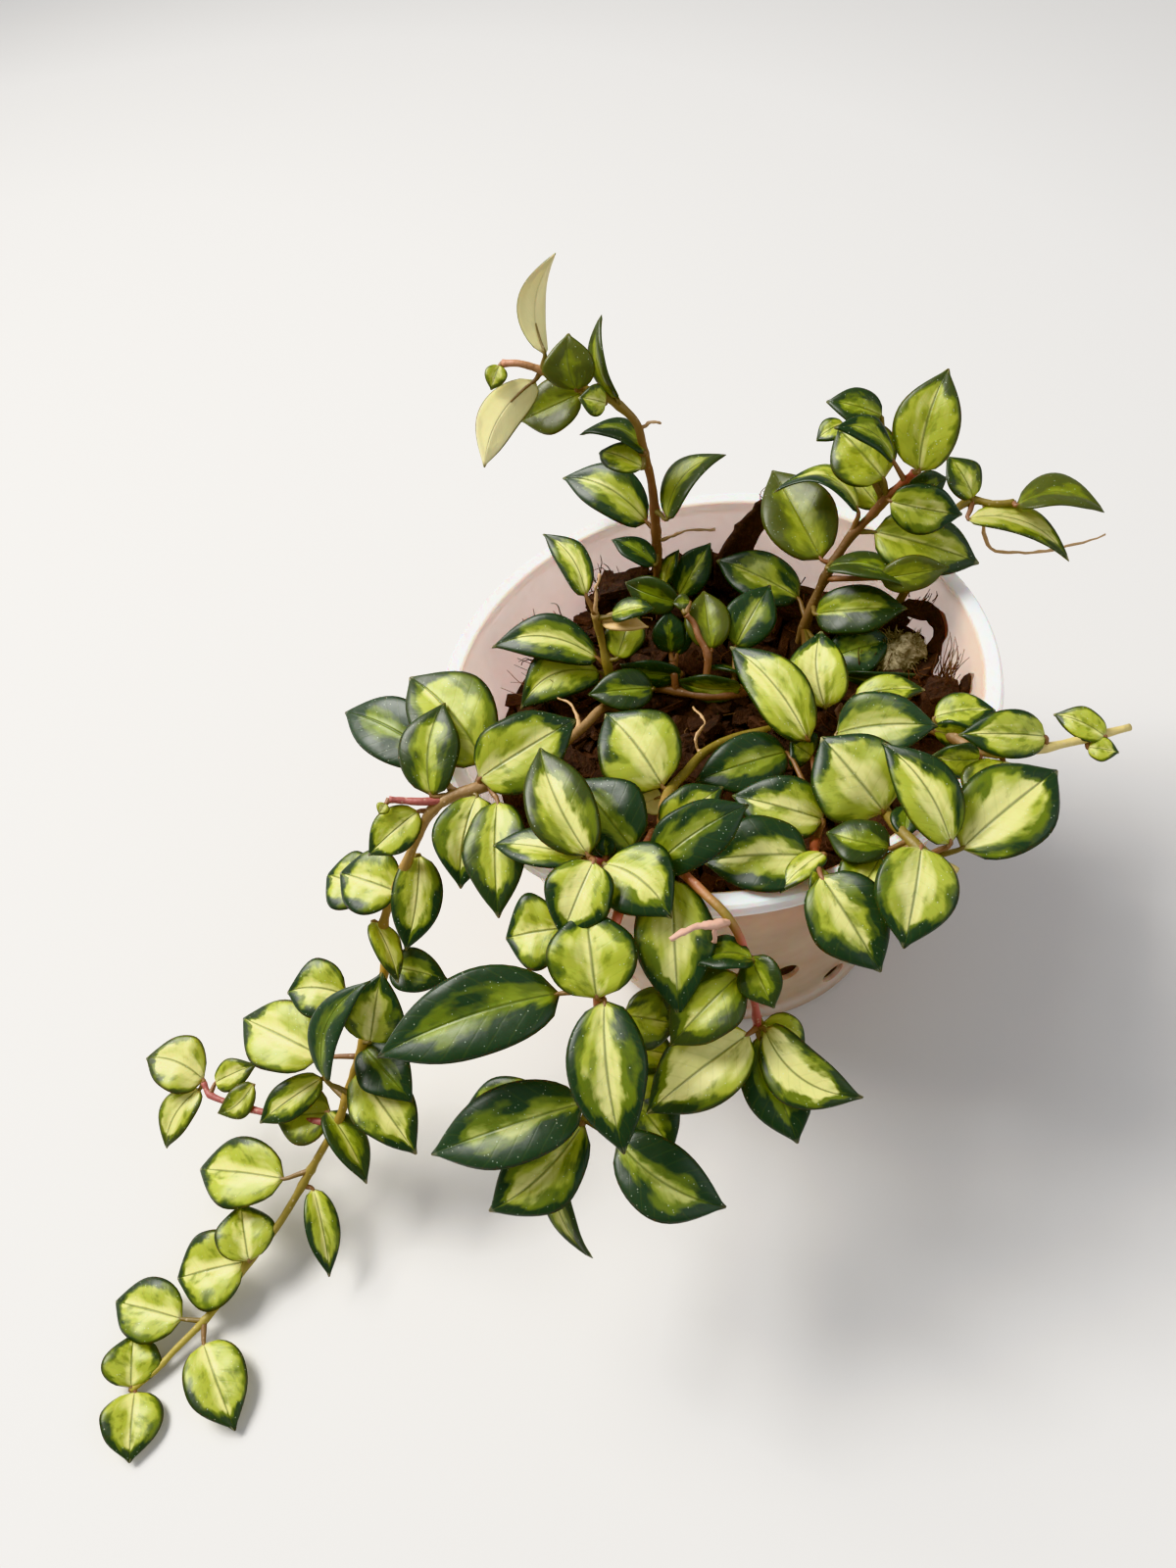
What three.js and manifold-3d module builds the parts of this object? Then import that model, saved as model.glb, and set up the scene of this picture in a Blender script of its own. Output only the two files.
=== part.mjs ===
// A waxflower vine with variegated leaves, trailing out of a clear nursery pot.
// Millimetres, +Z up. The origin is the middle of the pot's base, on the surface it stands on.
import * as THREE from 'three';
import { mergeVertices } from 'three/addons/utils/BufferGeometryUtils.js';
import Module from 'manifold-3d';

const wasm = await Module();
wasm.setup();
const { Manifold, Mesh: SolidMesh } = wasm;

// Driving sizes of the pot
const POT_HEIGHT = 86;
const RIM_RADIUS = 60;
const RIM_INNER_RADIUS = 55.6;
const RIM_DROP = 3.2;
const RIM_LIP = 1.3;
const WALL_TOP_RADIUS = 57;
const BASE_RADIUS = 38;
const WALL = 1.4;
const WALL_BEND_HEIGHT = 40;
const FLOOR = 1.8;
const BASE_ROUNDING = 1;
const RIM_ROUNDING = 0.5;
const POT_SIDES = 36;
const DRAIN_RADIUS = 2.9;
const DRAIN_SIDES = 6;
const DRAIN_DRILL_LENGTH = 12;
const DRAINS_IN_A_RING = 10;
const UPPER_DRAINS = { height: 34, firstBearing: -88 };
const LOWER_DRAINS = { height: 17, firstBearing: -70 };
const FLOOR_DRAINS = { ring: 24, count: 6 };

// Driving sizes of the filling
const FILL_TOP = 69;
const FILL_GAP = 0.3;
const FACET_SLACK = 0.6;
const FILL_SIDES = 18;
const FILL_SHOULDER = { drop: 2, inset: 6 };
const FILL_MIDDLE_DIP = 1;
const CHIP_COUNT = 24;
const CHIP_SEED = 11;
const CHIP_REACH = 41;
const CHIP_SIZE = { length: [6, 13], breadth: [4, 8], height: [3, 5] };
const CHIP_TILT = { across: 0.5, along: 0.7 };
const CHIP_SINK = [1, 2.4];
const CHIP_TURN = 2.39996;
const SPLINTER_SIDES = 6;

// Driving sizes of the plant
const STEM_RADIUS = 1.15;
const SHOOT_RADIUS = 0.98;
const STEM_HOLE_REACH = 4;
const ROOT_RADIUS = 0.45;
const STEM_SIDES = 5;
const ROOT_SIDES = 3;
const PETIOLE_HALF_WIDTH = 0.75;
const MIDRIB_THICKNESS = 1.3;
const HOLE_CLEARANCE = 0.4;
const TIP_HALF_WIDTH = 0.35;
const LEAF_ARCH = 0.09;
const LEAF_FOLD = 12;
const LEAF_EYE_LEAN = 0.4;

// A place on the plant is given as it is seen from one point above and in front of the pot:
// how far across and down it lies in a view 1200 wide and 1600 high, and its real height in mm.
const VIEW = {
  eye: new THREE.Vector3(-31.22, -182.4, 281.67),
  middle: [600, 800],
  focal: 1274.4,
  dip: THREE.MathUtils.degToRad(50.63),
  roll: THREE.MathUtils.degToRad(-13.89),
};
const UP = new THREE.Vector3(0, 0, 1);
const viewAhead = new THREE.Vector3(0, Math.cos(VIEW.dip), -Math.sin(VIEW.dip));
const viewRight = new THREE.Vector3(1, 0, 0).applyAxisAngle(viewAhead, -VIEW.roll);
const viewUp = new THREE.Vector3().crossVectors(viewRight, viewAhead);

function sight(across, down, height) {
  const ray = viewAhead.clone()
    .addScaledVector(viewRight, (across - VIEW.middle[0]) / VIEW.focal)
    .addScaledVector(viewUp, (VIEW.middle[1] - down) / VIEW.focal);
  return VIEW.eye.clone().addScaledVector(ray, (height - VIEW.eye.z) / ray.z);
}

// The leafy stems. A stem's points are [across, down, height].
// A leaf is [point of its stem, blade base across, down, blade tip across, down,
//   base above the stem, tip above the base, width, roll, bends (optional)].
// Roll turns the blade about its length: 0 faces the eye, 180 shows the underside.
// Bends are the arch out of the blade, the sweep to its right, both as parts of its length,
// and the fold at the midrib in degrees.
// A shoot or root springs from its first number, a point of the main stem.
const VINES = [
  {
    name: 'back_left_vine',
    stem: [
      [676, 618, 62], [672, 592, 74], [670, 556, 86], [668, 520, 96], [664, 488, 104], [657, 462, 111],
      [650, 433, 118], [632, 414, 123], [614, 403, 126], [595, 397, 128], [572, 387, 130],
      [553, 378, 132], [530, 371, 134], [513, 371, 134],
    ],
    leaves: [
      [11, 556, 362, 567, 258, 4, 16, 9, -128, { arch: 0.24 }],
      [9, 588, 398, 580, 340, 2, 10, 11, 0, { sweep: -0.08 }],
      [9, 594, 402, 532, 430, -3, -5, 12.5, 10, { sweep: -0.05 }],
      [11, 546, 388, 494, 477, -2, -9, 9.5, 165, { sweep: -0.11 }],
      [7, 631, 408, 614, 321, 2, 15, 7.5, -62, { arch: 0.16 }],
      [8, 618, 412, 590, 406, 1, 3, 7, 0],
      [5, 658, 463, 591, 444, 1, 2, 8.5, 40, { arch: 0.12, sweep: 0.19 }],
      [5, 656, 478, 611, 462, -2, 0, 9, 20],
      [2.4, 660, 533, 574, 488, 2, 5, 12.5, 0, { sweep: 0.1 }],
      [3, 681, 530, 741, 464, 1, 9, 12, -40, { arch: 0.12, sweep: -0.14 }],
      [1.8, 668, 577, 624, 551, 1, 4, 8, 30],
      [0.8, 693, 608, 725, 554, 2, 8, 9, 0],
      [1, 679, 598, 693, 561, 1, 8, 6, -40],
      [13, 510, 373, 501, 398, 0, -3, 5, 0],
    ],
    roots: [
      [6, [655, 437, 117], [665, 431, 119], [675, 433, 118]],
      [2.2, [678, 550, 88], [700, 542, 92], [730, 540, 93]],
    ],
  },
  {
    name: 'left_short_vine',
    stem: [[627, 731, 61], [624, 705, 71], [620, 680, 78], [613, 650, 85], [607, 626, 92]],
    leaves: [
      [4, 598, 608, 554, 545, 4, 8, 7.5, 0, { sweep: 0.12 }],
      [2, 610, 672, 502, 661, 2, 2, 11, 0, { sweep: 0.13 }],
      [1.6, 612, 686, 531, 724, 0, -3, 12.5, 0, { sweep: 0.18 }],
      [2.2, 630, 672, 648, 620, 1, 6, 9, 0],
      [3.8, 624, 629, 668, 621, 1, 2, 7, -30],
      [3.4, 616, 634, 662, 637, 1, 0, 3.5, 0],
    ],
    roots: [[4, [608, 614, 95], [608, 600, 98], [611, 586, 101]]],
  },
  {
    name: 'centre_shoots',
    stem: [
      [636, 686, 62], [655, 697, 70.6], [690, 705, 71.4], [721, 710, 71.6], [752, 708, 71.6], [776, 702, 64],
    ],
    leaves: [
      [1.5, 696, 687, 632, 678, 4, 2, 8, -50],
      [3.6, 757, 701, 690, 694, 2, 0, 9, -55],
      [4.2, 772, 697, 720, 682, 2, 3, 8, 70],
      [1, 667, 703, 600, 709, 4, 2, 10, 0],
      [3.9, 750, 660, 786, 597, 6, 7, 11.5, 0],
    ],
    shoots: [
      {
        path: [3, [721, 690, 75], [722, 668, 79], [713, 650, 82], [708, 636, 84], [700, 627, 86]],
        leaves: [
          [2, 726, 663, 718, 603, 0, 6, 10.5, 0],
          [5, 692, 614, 638, 594, 1, 2, 9, -35],
          [5, 704, 614, 686, 616, 1, 0, 4, 0],
        ],
      },
      {
        path: [2, [688, 690, 75], [686, 676, 77]],
        leaves: [
          [2, 684, 666, 682, 622, 0, 8, 8, 0],
          [1.2, 691, 668, 704, 632, -1, 3, 5, 0],
        ],
      },
    ],
  },
  {
    name: 'back_right_vine',
    stem: [
      [812, 668, 62], [820, 641, 72], [836, 602, 82], [851, 573, 90], [869, 546, 96], [889, 526, 101],
      [905, 508, 106], [921, 493, 110], [933, 482, 113],
    ],
    leaves: [
      [2.9, 838, 571, 788, 480, 1, 8, 16, 0],
      [4, 876, 523, 789, 503, 6, 2, 11, 50, { arch: 0.2, sweep: 0.25 }],
      [5.6, 900, 426, 843, 410, 14, 4, 9, 15],
      [5.8, 862, 433, 833, 450, 12, -2, 6, 20],
      [6, 902, 489, 854, 437, 5, 6, 14.5, 0],
      [7.2, 911, 470, 851, 437, 6, 9, 8.5, 35, { sweep: 0.15 }],
      [8, 938, 481, 968, 376, 1, 16, 13.5, 0, { sweep: -0.05 }],
      [4.2, 892, 543, 999, 575, 0, -6, 14.5, 0],
      [6, 908, 511, 982, 525, 1, -3, 11, 25],
      [6.4, 925, 503, 966, 487, -1, 1, 8, 40],
      [3, 844, 580, 921, 598, 2, 0, 10, -40, { sweep: -0.1 }],
      [1.6, 832, 627, 926, 621, 2, 4, 12, 0],
      [2.4, 898, 590, 968, 578, 7, 1, 8, 20],
      [1, 848, 672, 911, 653, 2, 2, 12, 0],
      [1.2, 815, 611, 731, 572, 2, 4, 13, 10],
      [1, 842, 723, 838, 644, 6, 7, 13.5, 0, { sweep: -0.08 }],
      [1, 825, 756, 745, 660, 8, 8, 12.5, 0, { sweep: 0.06 }],
      [5.2, 897, 518, 868, 484, -4, 3, 8, 0],
      [1, 862, 688, 935, 688, 3, 0, 6, 60],
    ],
  },
  {
    name: 'far_right_vine',
    stem: [
      [896, 656, 64], [908, 632, 73], [922, 606, 81.5], [944, 566, 90.5], [966, 530, 92.5], [990, 511, 92],
      [1013, 514, 92], [1034, 513, 91.5],
    ],
    leaves: [
      [7, 1037, 516, 1127, 523, 1, -2, 14.5, -45, { arch: 0.12, sweep: -0.14 }],
      [5.1, 988, 530, 1091, 573, -1, -8, 11, -40, { sweep: -0.14 }],
      [5, 992, 509, 966, 466, 1, 7, 10, 30],
    ],
    roots: [[5.6, [1008, 556, 82], [1040, 564, 79], [1080, 560, 78], [1128, 546, 78]]],
  },
  {
    name: 'right_vine',
    stem: [
      [868, 716, 62], [886, 724, 72], [920, 735, 79], [960, 746, 85], [998, 765, 88.6], [1030, 768, 88.4],
      [1067, 763, 86], [1110, 753, 84], [1153, 742, 83],
    ],
    leaves: [
      [6, 1067, 752, 978, 750, 2, 3, 10, 0],
      [3, 953, 733, 1016, 725, 2, 1, 9, -20],
      [3.4, 953, 744, 1000, 748, 0, 1, 6, 40],
      [7.3, 1128, 752, 1075, 729, 1, 1, 6.5, 0, { sweep: 0.05 }],
      [7, 1110, 763, 1142, 768, -1, 0, 5, 0],
      [4, 1000, 773, 951, 771, 0, 1, 8, -40],
      [4.6, 1024, 776, 1008, 838, -1, -4, 14, 0],
      [1.8, 872, 712, 944, 704, 2, 2, 8, -20],
    ],
  },
  {
    name: 'right_front_vine',
    stem: [
      [862, 772, 62], [876, 790, 73], [897, 820, 83.5], [920, 848, 89.8], [944, 871, 90.6], [962, 881, 89.5],
      [977, 889, 88.5],
    ],
    leaves: [
      [4.4, 981, 866, 1079, 786, 2, 3, 17, 0],
      [4.2, 970, 861, 900, 758, 4, 10, 11, 0, { sweep: 0.08 }],
      [2.2, 902, 829, 838, 752, 3, 8, 19, 0],
      [1.8, 853, 749, 957, 741, 6, 5, 14.5, 0, { sweep: -0.03 }],
      [3.9, 940, 864, 922, 968, 4, -7, 15, -10],
      [2.8, 926, 824, 922, 858, 1, 0, 6, 0],
      [3.4, 908, 866, 843, 850, 0, 0, 10, 20, { arch: 0.16, sweep: -0.12 }],
      [3.6, 898, 876, 868, 932, -1.6, -1.6, 12, 0],
    ],
  },
  {
    name: 'front_right_vine',
    stem: [[838, 800, 62], [836, 822, 72], [834, 845, 79], [831, 868, 85], [832, 874, 86]],
    leaves: [
      [4, 838, 894, 899, 992, 4.6, -9, 15, 0],
      [3.6, 826, 874, 717, 880, 1, 0, 16, 10],
      [2.6, 840, 837, 747, 812, 3, 3, 13, 0],
      [1.2, 803, 768, 709, 798, 3, 1, 13, 0],
      [3.8, 842, 872, 796, 911, 2, -1, 6, 30],
      [3.9, 838, 886, 829, 926, 2, -1, 5, -30],
      [1.2, 828, 772, 806, 757, 1, 3, 9, 0],
    ],
  },
  {
    name: 'front_pink_vine',
    stem: [
      [800, 741, 62], [780, 746, 70.8], [750, 753, 73], [720, 767, 76], [700, 788, 79], [683, 808, 82],
      [676, 845, 86], [690, 882, 89], [715, 908, 90], [742, 935, 89], [757, 962, 84], [766, 1000, 77],
      [771, 1030, 71], [773, 1048, 67],
    ],
    leaves: [
      [5, 676, 803, 618, 728, 1, 7, 18.5, 0, { sweep: 0.04 }],
      [5.3, 676, 812, 648, 824, -2, -2, 7, 160],
      [6.8, 668, 884, 764, 821, 3, 6, 12, 10, { sweep: -0.05 }],
      [6, 676, 848, 738, 803, -1, 4, 10, 0],
      [6.9, 685, 897, 693, 1037, 0.4, -11.5, 15, 0],
      [13, 764, 1055, 660, 1136, 2, -5, 15, 0],
      [13, 780, 1050, 881, 1120, 1, -5, 11.5, 0, { sweep: 0.18 }],
      [13, 774, 1058, 814, 1167, 0, -10, 13, 0],
      [12.4, 778, 1044, 822, 1074, -4, -4, 9, 0],
      [10.8, 754, 995, 684, 1067, 1, -6, 13, 0],
      [10.8, 769, 980, 711, 985, 5, 1, 9, 35, { sweep: 0.12 }],
      [10.9, 766, 976, 790, 1029, 5, -4, 9, 25, { sweep: -0.05 }],
    ],
    roots: [
      [3, [713, 766, 76], [710, 752, 78], [719, 736, 77], [707, 722, 76]],
      [9.2, [726, 943, 91], [704, 947, 92], [685, 959, 91]],
      [9.2, [731, 947, 89], [728, 961, 87]],
    ],
  },
  {
    name: 'front_trailing_vine',
    stem: [
      [672, 840, 62], [662, 858, 73], [648, 888, 85.5], [634, 924, 90.6], [621, 965, 89], [612, 1010, 84],
      [610, 1050, 79], [607, 1090, 73], [603, 1120, 68], [597, 1142, 65],
    ],
    leaves: [
      [5, 571, 1014, 385, 1079, 0, -3, 16, 0, { sweep: 0.03 }],
      [5, 609, 1019, 598, 925, 2, 7, 17, 0],
      [4.2, 572, 948, 516, 958, -3, -2, 15, 0],
      [5.2, 617, 1021, 637, 1178, 2, -13, 14.5, 0, { sweep: 0.04 }],
      [8.2, 595, 1126, 440, 1178, 2, -4, 15, 0],
      [9, 596, 1146, 499, 1236, -1, -9, 14, 0, { sweep: -0.08 }],
      [8, 556, 1124, 472, 1136, -6, -4, 12, 0, { sweep: -0.02 }],
      [9, 570, 1172, 605, 1284, -6, -16, 7.5, 45, { sweep: 0.1 }],
      [9, 630, 1164, 741, 1232, -2, -7, 14, 0, { sweep: 0.1 }],
      [7.6, 648, 1122, 687, 1174, -8, -5, 11, 0],
      [6, 636, 1036, 692, 1046, -5, -4, 12, 0],
      [6.6, 636, 1068, 690, 1078, -8, -4, 9, 0],
      [7, 640, 1098, 668, 1138, -9, -4, 11, 0],
    ],
    shoots: [
      {
        path: [2, [625, 884, 89], [604, 877, 93]],
        leaves: [
          [2, 606, 879, 573, 957, 4, -6, 13, 0],
          [1.4, 617, 882, 686, 937, 2, -2, 15, 0, { sweep: -0.1 }],
          [2, 600, 873, 551, 763, 1, 7, 13.5, 0, { sweep: -0.05 }],
          [2, 596, 877, 503, 863, -1, -1, 9, 20],
          [1.2, 646, 868, 588, 796, -2, 4, 16.5, 0],
          [1.5, 618, 874, 618, 852, 0, 2, 4, 0],
        ],
      },
    ],
  },
  {
    name: 'long_trailing_vine',
    stem: [
      [650, 748, 60], [622, 721, 71], [595, 742, 77], [560, 772, 83], [525, 790, 88], [491, 803, 90],
      [462, 812, 90], [441, 827, 88], [427, 852, 83], [413, 885, 76], [398, 920, 69], [391, 946, 64],
      [395, 972, 58], [389, 1005, 52], [376, 1040, 45], [367, 1078, 39], [355, 1115, 33], [344, 1147, 28],
      [329, 1173, 23.5], [317, 1194, 20], [303, 1219, 16.5], [281, 1254, 12.6], [252, 1290, 9],
      [230, 1322, 6.4], [208, 1348, 4.4], [180, 1376, 3.2], [158, 1399, 2.6], [134, 1418, 2.2],
    ],
    leaves: [
      [6, 447, 776, 352, 727, 0, 1, 14.5, 0, { sweep: 0.04 }],
      [6, 440, 812, 454, 717, 1, 8, 13, -10, { sweep: -0.07 }],
      [5.2, 494, 778, 418, 691, 2, 6, 18.5, 0, { sweep: 0.05 }],
      [5, 489, 795, 588, 734, 2, 5, 16, 5],
      [5.5, 487, 812, 470, 907, 0, -9, 12.5, 0, { sweep: 0.05 }],
      [4.8, 508, 818, 509, 937, 1, -9, 13, 10],
      [7, 427, 828, 376, 873, 0, -4, 9.5, 0],
      [9.8, 379, 908, 334, 893, -3, -1, 14, 0],
      [9.8, 407, 911, 347, 891, 1, 0, 15, 0],
      [9, 428, 872, 414, 970, 0, -11, 11, 0, { sweep: -0.05 }],
      [11, 380, 940, 406, 1003, 1, -6, 7, -30],
      [12.4, 398, 986, 457, 1000, 0, -2, 10, 0],
      [13.8, 354, 1016, 293, 1013, 1, 0, 14, 0, { sweep: 0.08 }],
      [15, 328, 1078, 248, 1039, 0, 0, 17, 0],
      [14.6, 378, 1063, 390, 992, 1, 2, 14, 0],
      [16, 333, 1103, 378, 1001, 8, 7, 9, -25, { sweep: -0.15 }],
      [15.4, 366, 1093, 425, 1178, 0, -6, 14, 0],
      [15, 371, 1068, 421, 1125, 1, -3, 12, 0],
      [16.2, 329, 1100, 265, 1146, 1, -4, 9, 0],
      [17, 338, 1136, 281, 1141, -1, -1, 14, 0],
      [17, 333, 1134, 374, 1208, 1, -6, 9.5, -30],
      [19, 290, 1203, 204, 1193, 0, -5, 16, 0],
      [21.8, 254, 1287, 246, 1228, 2, 2, 13.5, 0],
      [22, 250, 1288, 181, 1305, 0, -3, 18, 0],
      [19.6, 319, 1213, 336, 1303, -1, -8, 8, -20],
      [24, 186, 1346, 118, 1328, 0.5, -1, 14.5, 0],
      [24, 208, 1371, 240, 1460, -0.5, -1.6, 14, 0],
      [27, 134, 1416, 137, 1360, 0.6, 1, 13, 0],
      [27, 138, 1420, 132, 1493, 0, -0.3, 13.5, 0],
    ],
    shoots: [
      {
        path: [17, [300, 1141, 27], [269, 1135, 26], [240, 1127, 25.5], [214, 1117, 26], [208, 1105, 27]],
        leaves: [
          [5, 208, 1102, 149, 1080, 0, 3, 14, 0, { sweep: 0.1 }],
          [5, 204, 1111, 170, 1172, -1, -7, 9.5, 20, { sweep: 0.08 }],
          [4, 220, 1105, 262, 1086, 1, 3, 7.5, 0],
          [2.6, 259, 1106, 222, 1136, 3, -3, 7, 0, { sweep: -0.15 }],
        ],
      },
      {
        path: [6.3, [430, 818, 90.6], [412, 817, 91], [397, 816, 92]],
        leaves: [[3, 394, 820, 387, 831, 0, -1, 3, 0]],
      },
    ],
    roots: [
      [5.8, [456, 796, 92], [458, 781, 93], [468, 767, 94]],
      [2.2, [590, 733, 77], [580, 717, 78], [568, 713, 78]],
    ],
  },
];

// Larger loose pieces that stand up out of the filling. Each is made of splinters:
// [from, to, width at the start, width at the end, depth, roll], the ends given as they are seen.
const CHUNKS = [
  {
    name: 'tall_husk_chip',
    color: '#2a1a14',
    splinters: [[[740, 596, 70], [785, 516, 88], 9, 7, 3, 20]],
  },
  {
    name: 'bent_husk_chunk',
    color: '#3c261c',
    splinters: [
      [[914, 650, 70], [938, 622, 79], 6, 7, 4, 0],
      [[932, 622, 79], [951, 664, 74], 6, 5, 4, 0],
    ],
  },
  {
    name: 'fibrous_husk_chunk',
    color: '#5a3326',
    splinters: [
      [[957, 742, 70], [960, 694, 76], 9, 7, 4, 0],
      [[957, 700, 75], [974, 676, 82], 5, 2, 2.5, 0],
    ],
  },
  {
    name: 'moss_lump',
    color: '#cfc3a0',
    splinters: [[[897, 680, 69], [936, 678, 69.5], 7, 6, 6, 0]],
  },
];

// Edges shorter than this, left where two shapes join, are closed up
const SHORTEST_EDGE = 0.12;

// Solids out of three.js shapes
function solid(geometry) {
  const bare = geometry.clone();
  bare.deleteAttribute('normal');
  bare.deleteAttribute('uv');
  const merged = mergeVertices(bare, 1e-4);
  return new Manifold(new SolidMesh({
    numProp: 3,
    vertProperties: new Float32Array(merged.attributes.position.array),
    triVerts: new Uint32Array(merged.index.array),
  }));
}

// Draws the ends of each very short edge together, and drops the triangles that this flattens
function tidied(shape) {
  const { vertProperties, triVerts } = shape.getMesh();
  const spots = [];
  for (let start = 0; start < vertProperties.length; start += 3) {
    spots.push(new THREE.Vector3().fromArray(vertProperties, start));
  }
  const home = spots.map((_, index) => index);
  const homeOf = (index) => (home[index] === index ? index : homeOf(home[index]));
  const corners = [];
  for (let start = 0; start < triVerts.length; start += 3) {
    corners.push([triVerts[start], triVerts[start + 1], triVerts[start + 2]]);
  }
  corners.forEach((corner) => corner.forEach((from, side) => {
    const to = corner[(side + 1) % 3];
    if (spots[homeOf(from)].distanceTo(spots[homeOf(to)]) < SHORTEST_EDGE) {
      home[Math.max(homeOf(from), homeOf(to))] = Math.min(homeOf(from), homeOf(to));
    }
  }));
  const kept = corners.map((corner) => corner.map(homeOf))
    .filter(([a, b, c]) => a !== b && b !== c && c !== a);
  const labels = kept.map((corner) => {
    const first = corner.indexOf(Math.min(...corner));
    return [corner[first], corner[(first + 1) % 3], corner[(first + 2) % 3]].join();
  });
  const facing = new Set(labels.map((label) => label.split(',')).map(([a, b, c]) => [a, c, b].join()));
  const whole = kept.filter((_, index) => !facing.has(labels[index]));
  return new Manifold(new SolidMesh({ numProp: 3, vertProperties, triVerts: new Uint32Array(whole.flat()) }));
}

function named(name, shape, material) {
  const { vertProperties, triVerts } = tidied(shape).getMesh();
  const geometry = new THREE.BufferGeometry();
  geometry.setAttribute('position', new THREE.BufferAttribute(new Float32Array(vertProperties), 3));
  geometry.setIndex(new THREE.BufferAttribute(new Uint32Array(triVerts), 1));
  geometry.computeVertexNormals();
  const mesh = new THREE.Mesh(geometry, material);
  mesh.name = name;
  return mesh;
}

function finish(color, roughness, metalness = 0) {
  return new THREE.MeshStandardMaterial({ color, roughness, metalness });
}

function ringShape(radius, sides) {
  const corners = [];
  for (let side = 0; side < sides; side += 1) {
    const turn = (side / sides) * Math.PI * 2;
    corners.push(new THREE.Vector2(radius * Math.cos(turn), radius * Math.sin(turn)));
  }
  return new THREE.Shape(corners);
}

function tube(points, radius, sides) {
  const path = new THREE.CatmullRomCurve3(points, false, 'centripetal');
  return solid(new THREE.ExtrudeGeometry(ringShape(radius, sides), {
    steps: points.length,
    extrudePath: path,
    bevelEnabled: false,
  }));
}

// A leaf: a thick pointed blade on its short stalk, arched along its length, folded at the midrib
// and thinner towards its edges
const BLADE_STATIONS = [0, 0.14, 0.38, 0.68, 1];
const RINGS = BLADE_STATIONS.length;
const BLADE_TAPER = 0.85;
const BLADE_FULLNESS = 2.44;

function bladeHalfWidth(along, width) {
  return (width / 2) * BLADE_FULLNESS * Math.sqrt(along) * (1 - along) ** BLADE_TAPER;
}

// Which way is sideways and which way the blade faces, for a stretch that runs in a direction
function frameAlong(across, direction) {
  const side = across.clone().addScaledVector(direction, -across.dot(direction)).normalize();
  return { side, face: new THREE.Vector3().crossVectors(side, direction) };
}

function leafSolid(root, base, tip, width, roll, bends = {}) {
  const { arch = LEAF_ARCH, fold = LEAF_FOLD, sweep = 0 } = bends;
  const chord = tip.clone().sub(base);
  const length = chord.length();
  const ahead = chord.clone().normalize();
  const toEye = VIEW.eye.clone().sub(base).normalize().addScaledVector(UP, LEAF_EYE_LEAN);
  const across = new THREE.Vector3().crossVectors(ahead, toEye).normalize();
  across.applyAxisAngle(ahead, THREE.MathUtils.degToRad(roll));
  const blade = frameAlong(across, ahead);
  const stalkAhead = base.clone().sub(root).normalize();
  const stalk = frameAlong(across, stalkAhead);
  const kneeAhead = stalkAhead.clone().add(ahead).addScaledVector(blade.face, 0.01).normalize();
  const knee = frameAlong(across, kneeAhead);
  const foldTurn = THREE.MathUtils.degToRad(fold);

  const geometry = new THREE.CylinderGeometry(1, 1, 1, 4, RINGS);
  const spots = geometry.attributes.position;
  const spot = new THREE.Vector3();
  for (let index = 0; index < spots.count; index += 1) {
    spot.fromBufferAttribute(spots, index);
    const ring = Math.round((spot.y + 0.5) * RINGS);
    const sideways = spot.x;
    const along = ring === 0 ? 0 : BLADE_STATIONS[ring - 1];
    let half = bladeHalfWidth(along, width);
    let frame = blade;
    if (ring === 0) {
      frame = stalk;
    } else if (ring === 1) {
      frame = knee;
    }
    if (ring <= 1) {
      half = PETIOLE_HALF_WIDTH;
    } else if (ring === RINGS) {
      half = TIP_HALF_WIDTH;
    }
    const bow = ring > 1 ? length * 4 * along * (1 - along) : 0;
    const reach = sideways * half * (ring > 1 ? Math.cos(foldTurn) : 1) + sweep * bow;
    const rise = Math.abs(sideways) * half * Math.sin(foldTurn) + arch * bow;
    const lift = rise + (spot.z * MIDRIB_THICKNESS) / 2;
    const middle = ring === 0 ? root.clone() : base.clone().addScaledVector(ahead, along * length);
    middle.addScaledVector(frame.side, reach).addScaledVector(frame.face, lift);
    spots.setXYZ(index, middle.x, middle.y, middle.z);
  }
  return solid(geometry);
}

// A point part of the way along a list of stem points
function between(points, place) {
  const first = Math.min(Math.floor(place), points.length - 2);
  return points[first].clone().lerp(points[first + 1], place - first);
}

function seenLeaf(points, leaf) {
  const [place, baseAcross, baseDown, tipAcross, tipDown, lift, rise, width, roll, bends] = leaf;
  const root = between(points, place);
  const base = sight(baseAcross, baseDown, root.z + lift);
  const tip = sight(tipAcross, tipDown, root.z + lift + rise);
  return leafSolid(root, base, tip, width, roll, bends);
}

function seenPoints(list) {
  return list.map(([across, down, height]) => sight(across, down, height));
}

function vinePieces(vine) {
  const points = seenPoints(vine.stem);
  const pieces = [tube(points, STEM_RADIUS, STEM_SIDES)];
  vine.leaves.forEach((leaf) => pieces.push(seenLeaf(points, leaf)));
  (vine.shoots ?? []).forEach(({ path: [place, ...rest], leaves }) => {
    const shootPoints = [between(points, place), ...seenPoints(rest)];
    pieces.push(tube(shootPoints, SHOOT_RADIUS, STEM_SIDES));
    leaves.forEach((leaf) => pieces.push(seenLeaf(shootPoints, leaf)));
  });
  (vine.roots ?? []).forEach(([place, ...rest]) => {
    pieces.push(tube([between(points, place), ...seenPoints(rest)], ROOT_RADIUS, ROOT_SIDES));
  });
  return pieces;
}

// One whole body: a scrap that a join leaves loose is dropped
function joined(pieces) {
  const bodies = Manifold.union(pieces).decompose();
  return bodies.reduce((largest, body) => (body.volume() > largest.volume() ? body : largest));
}

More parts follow.
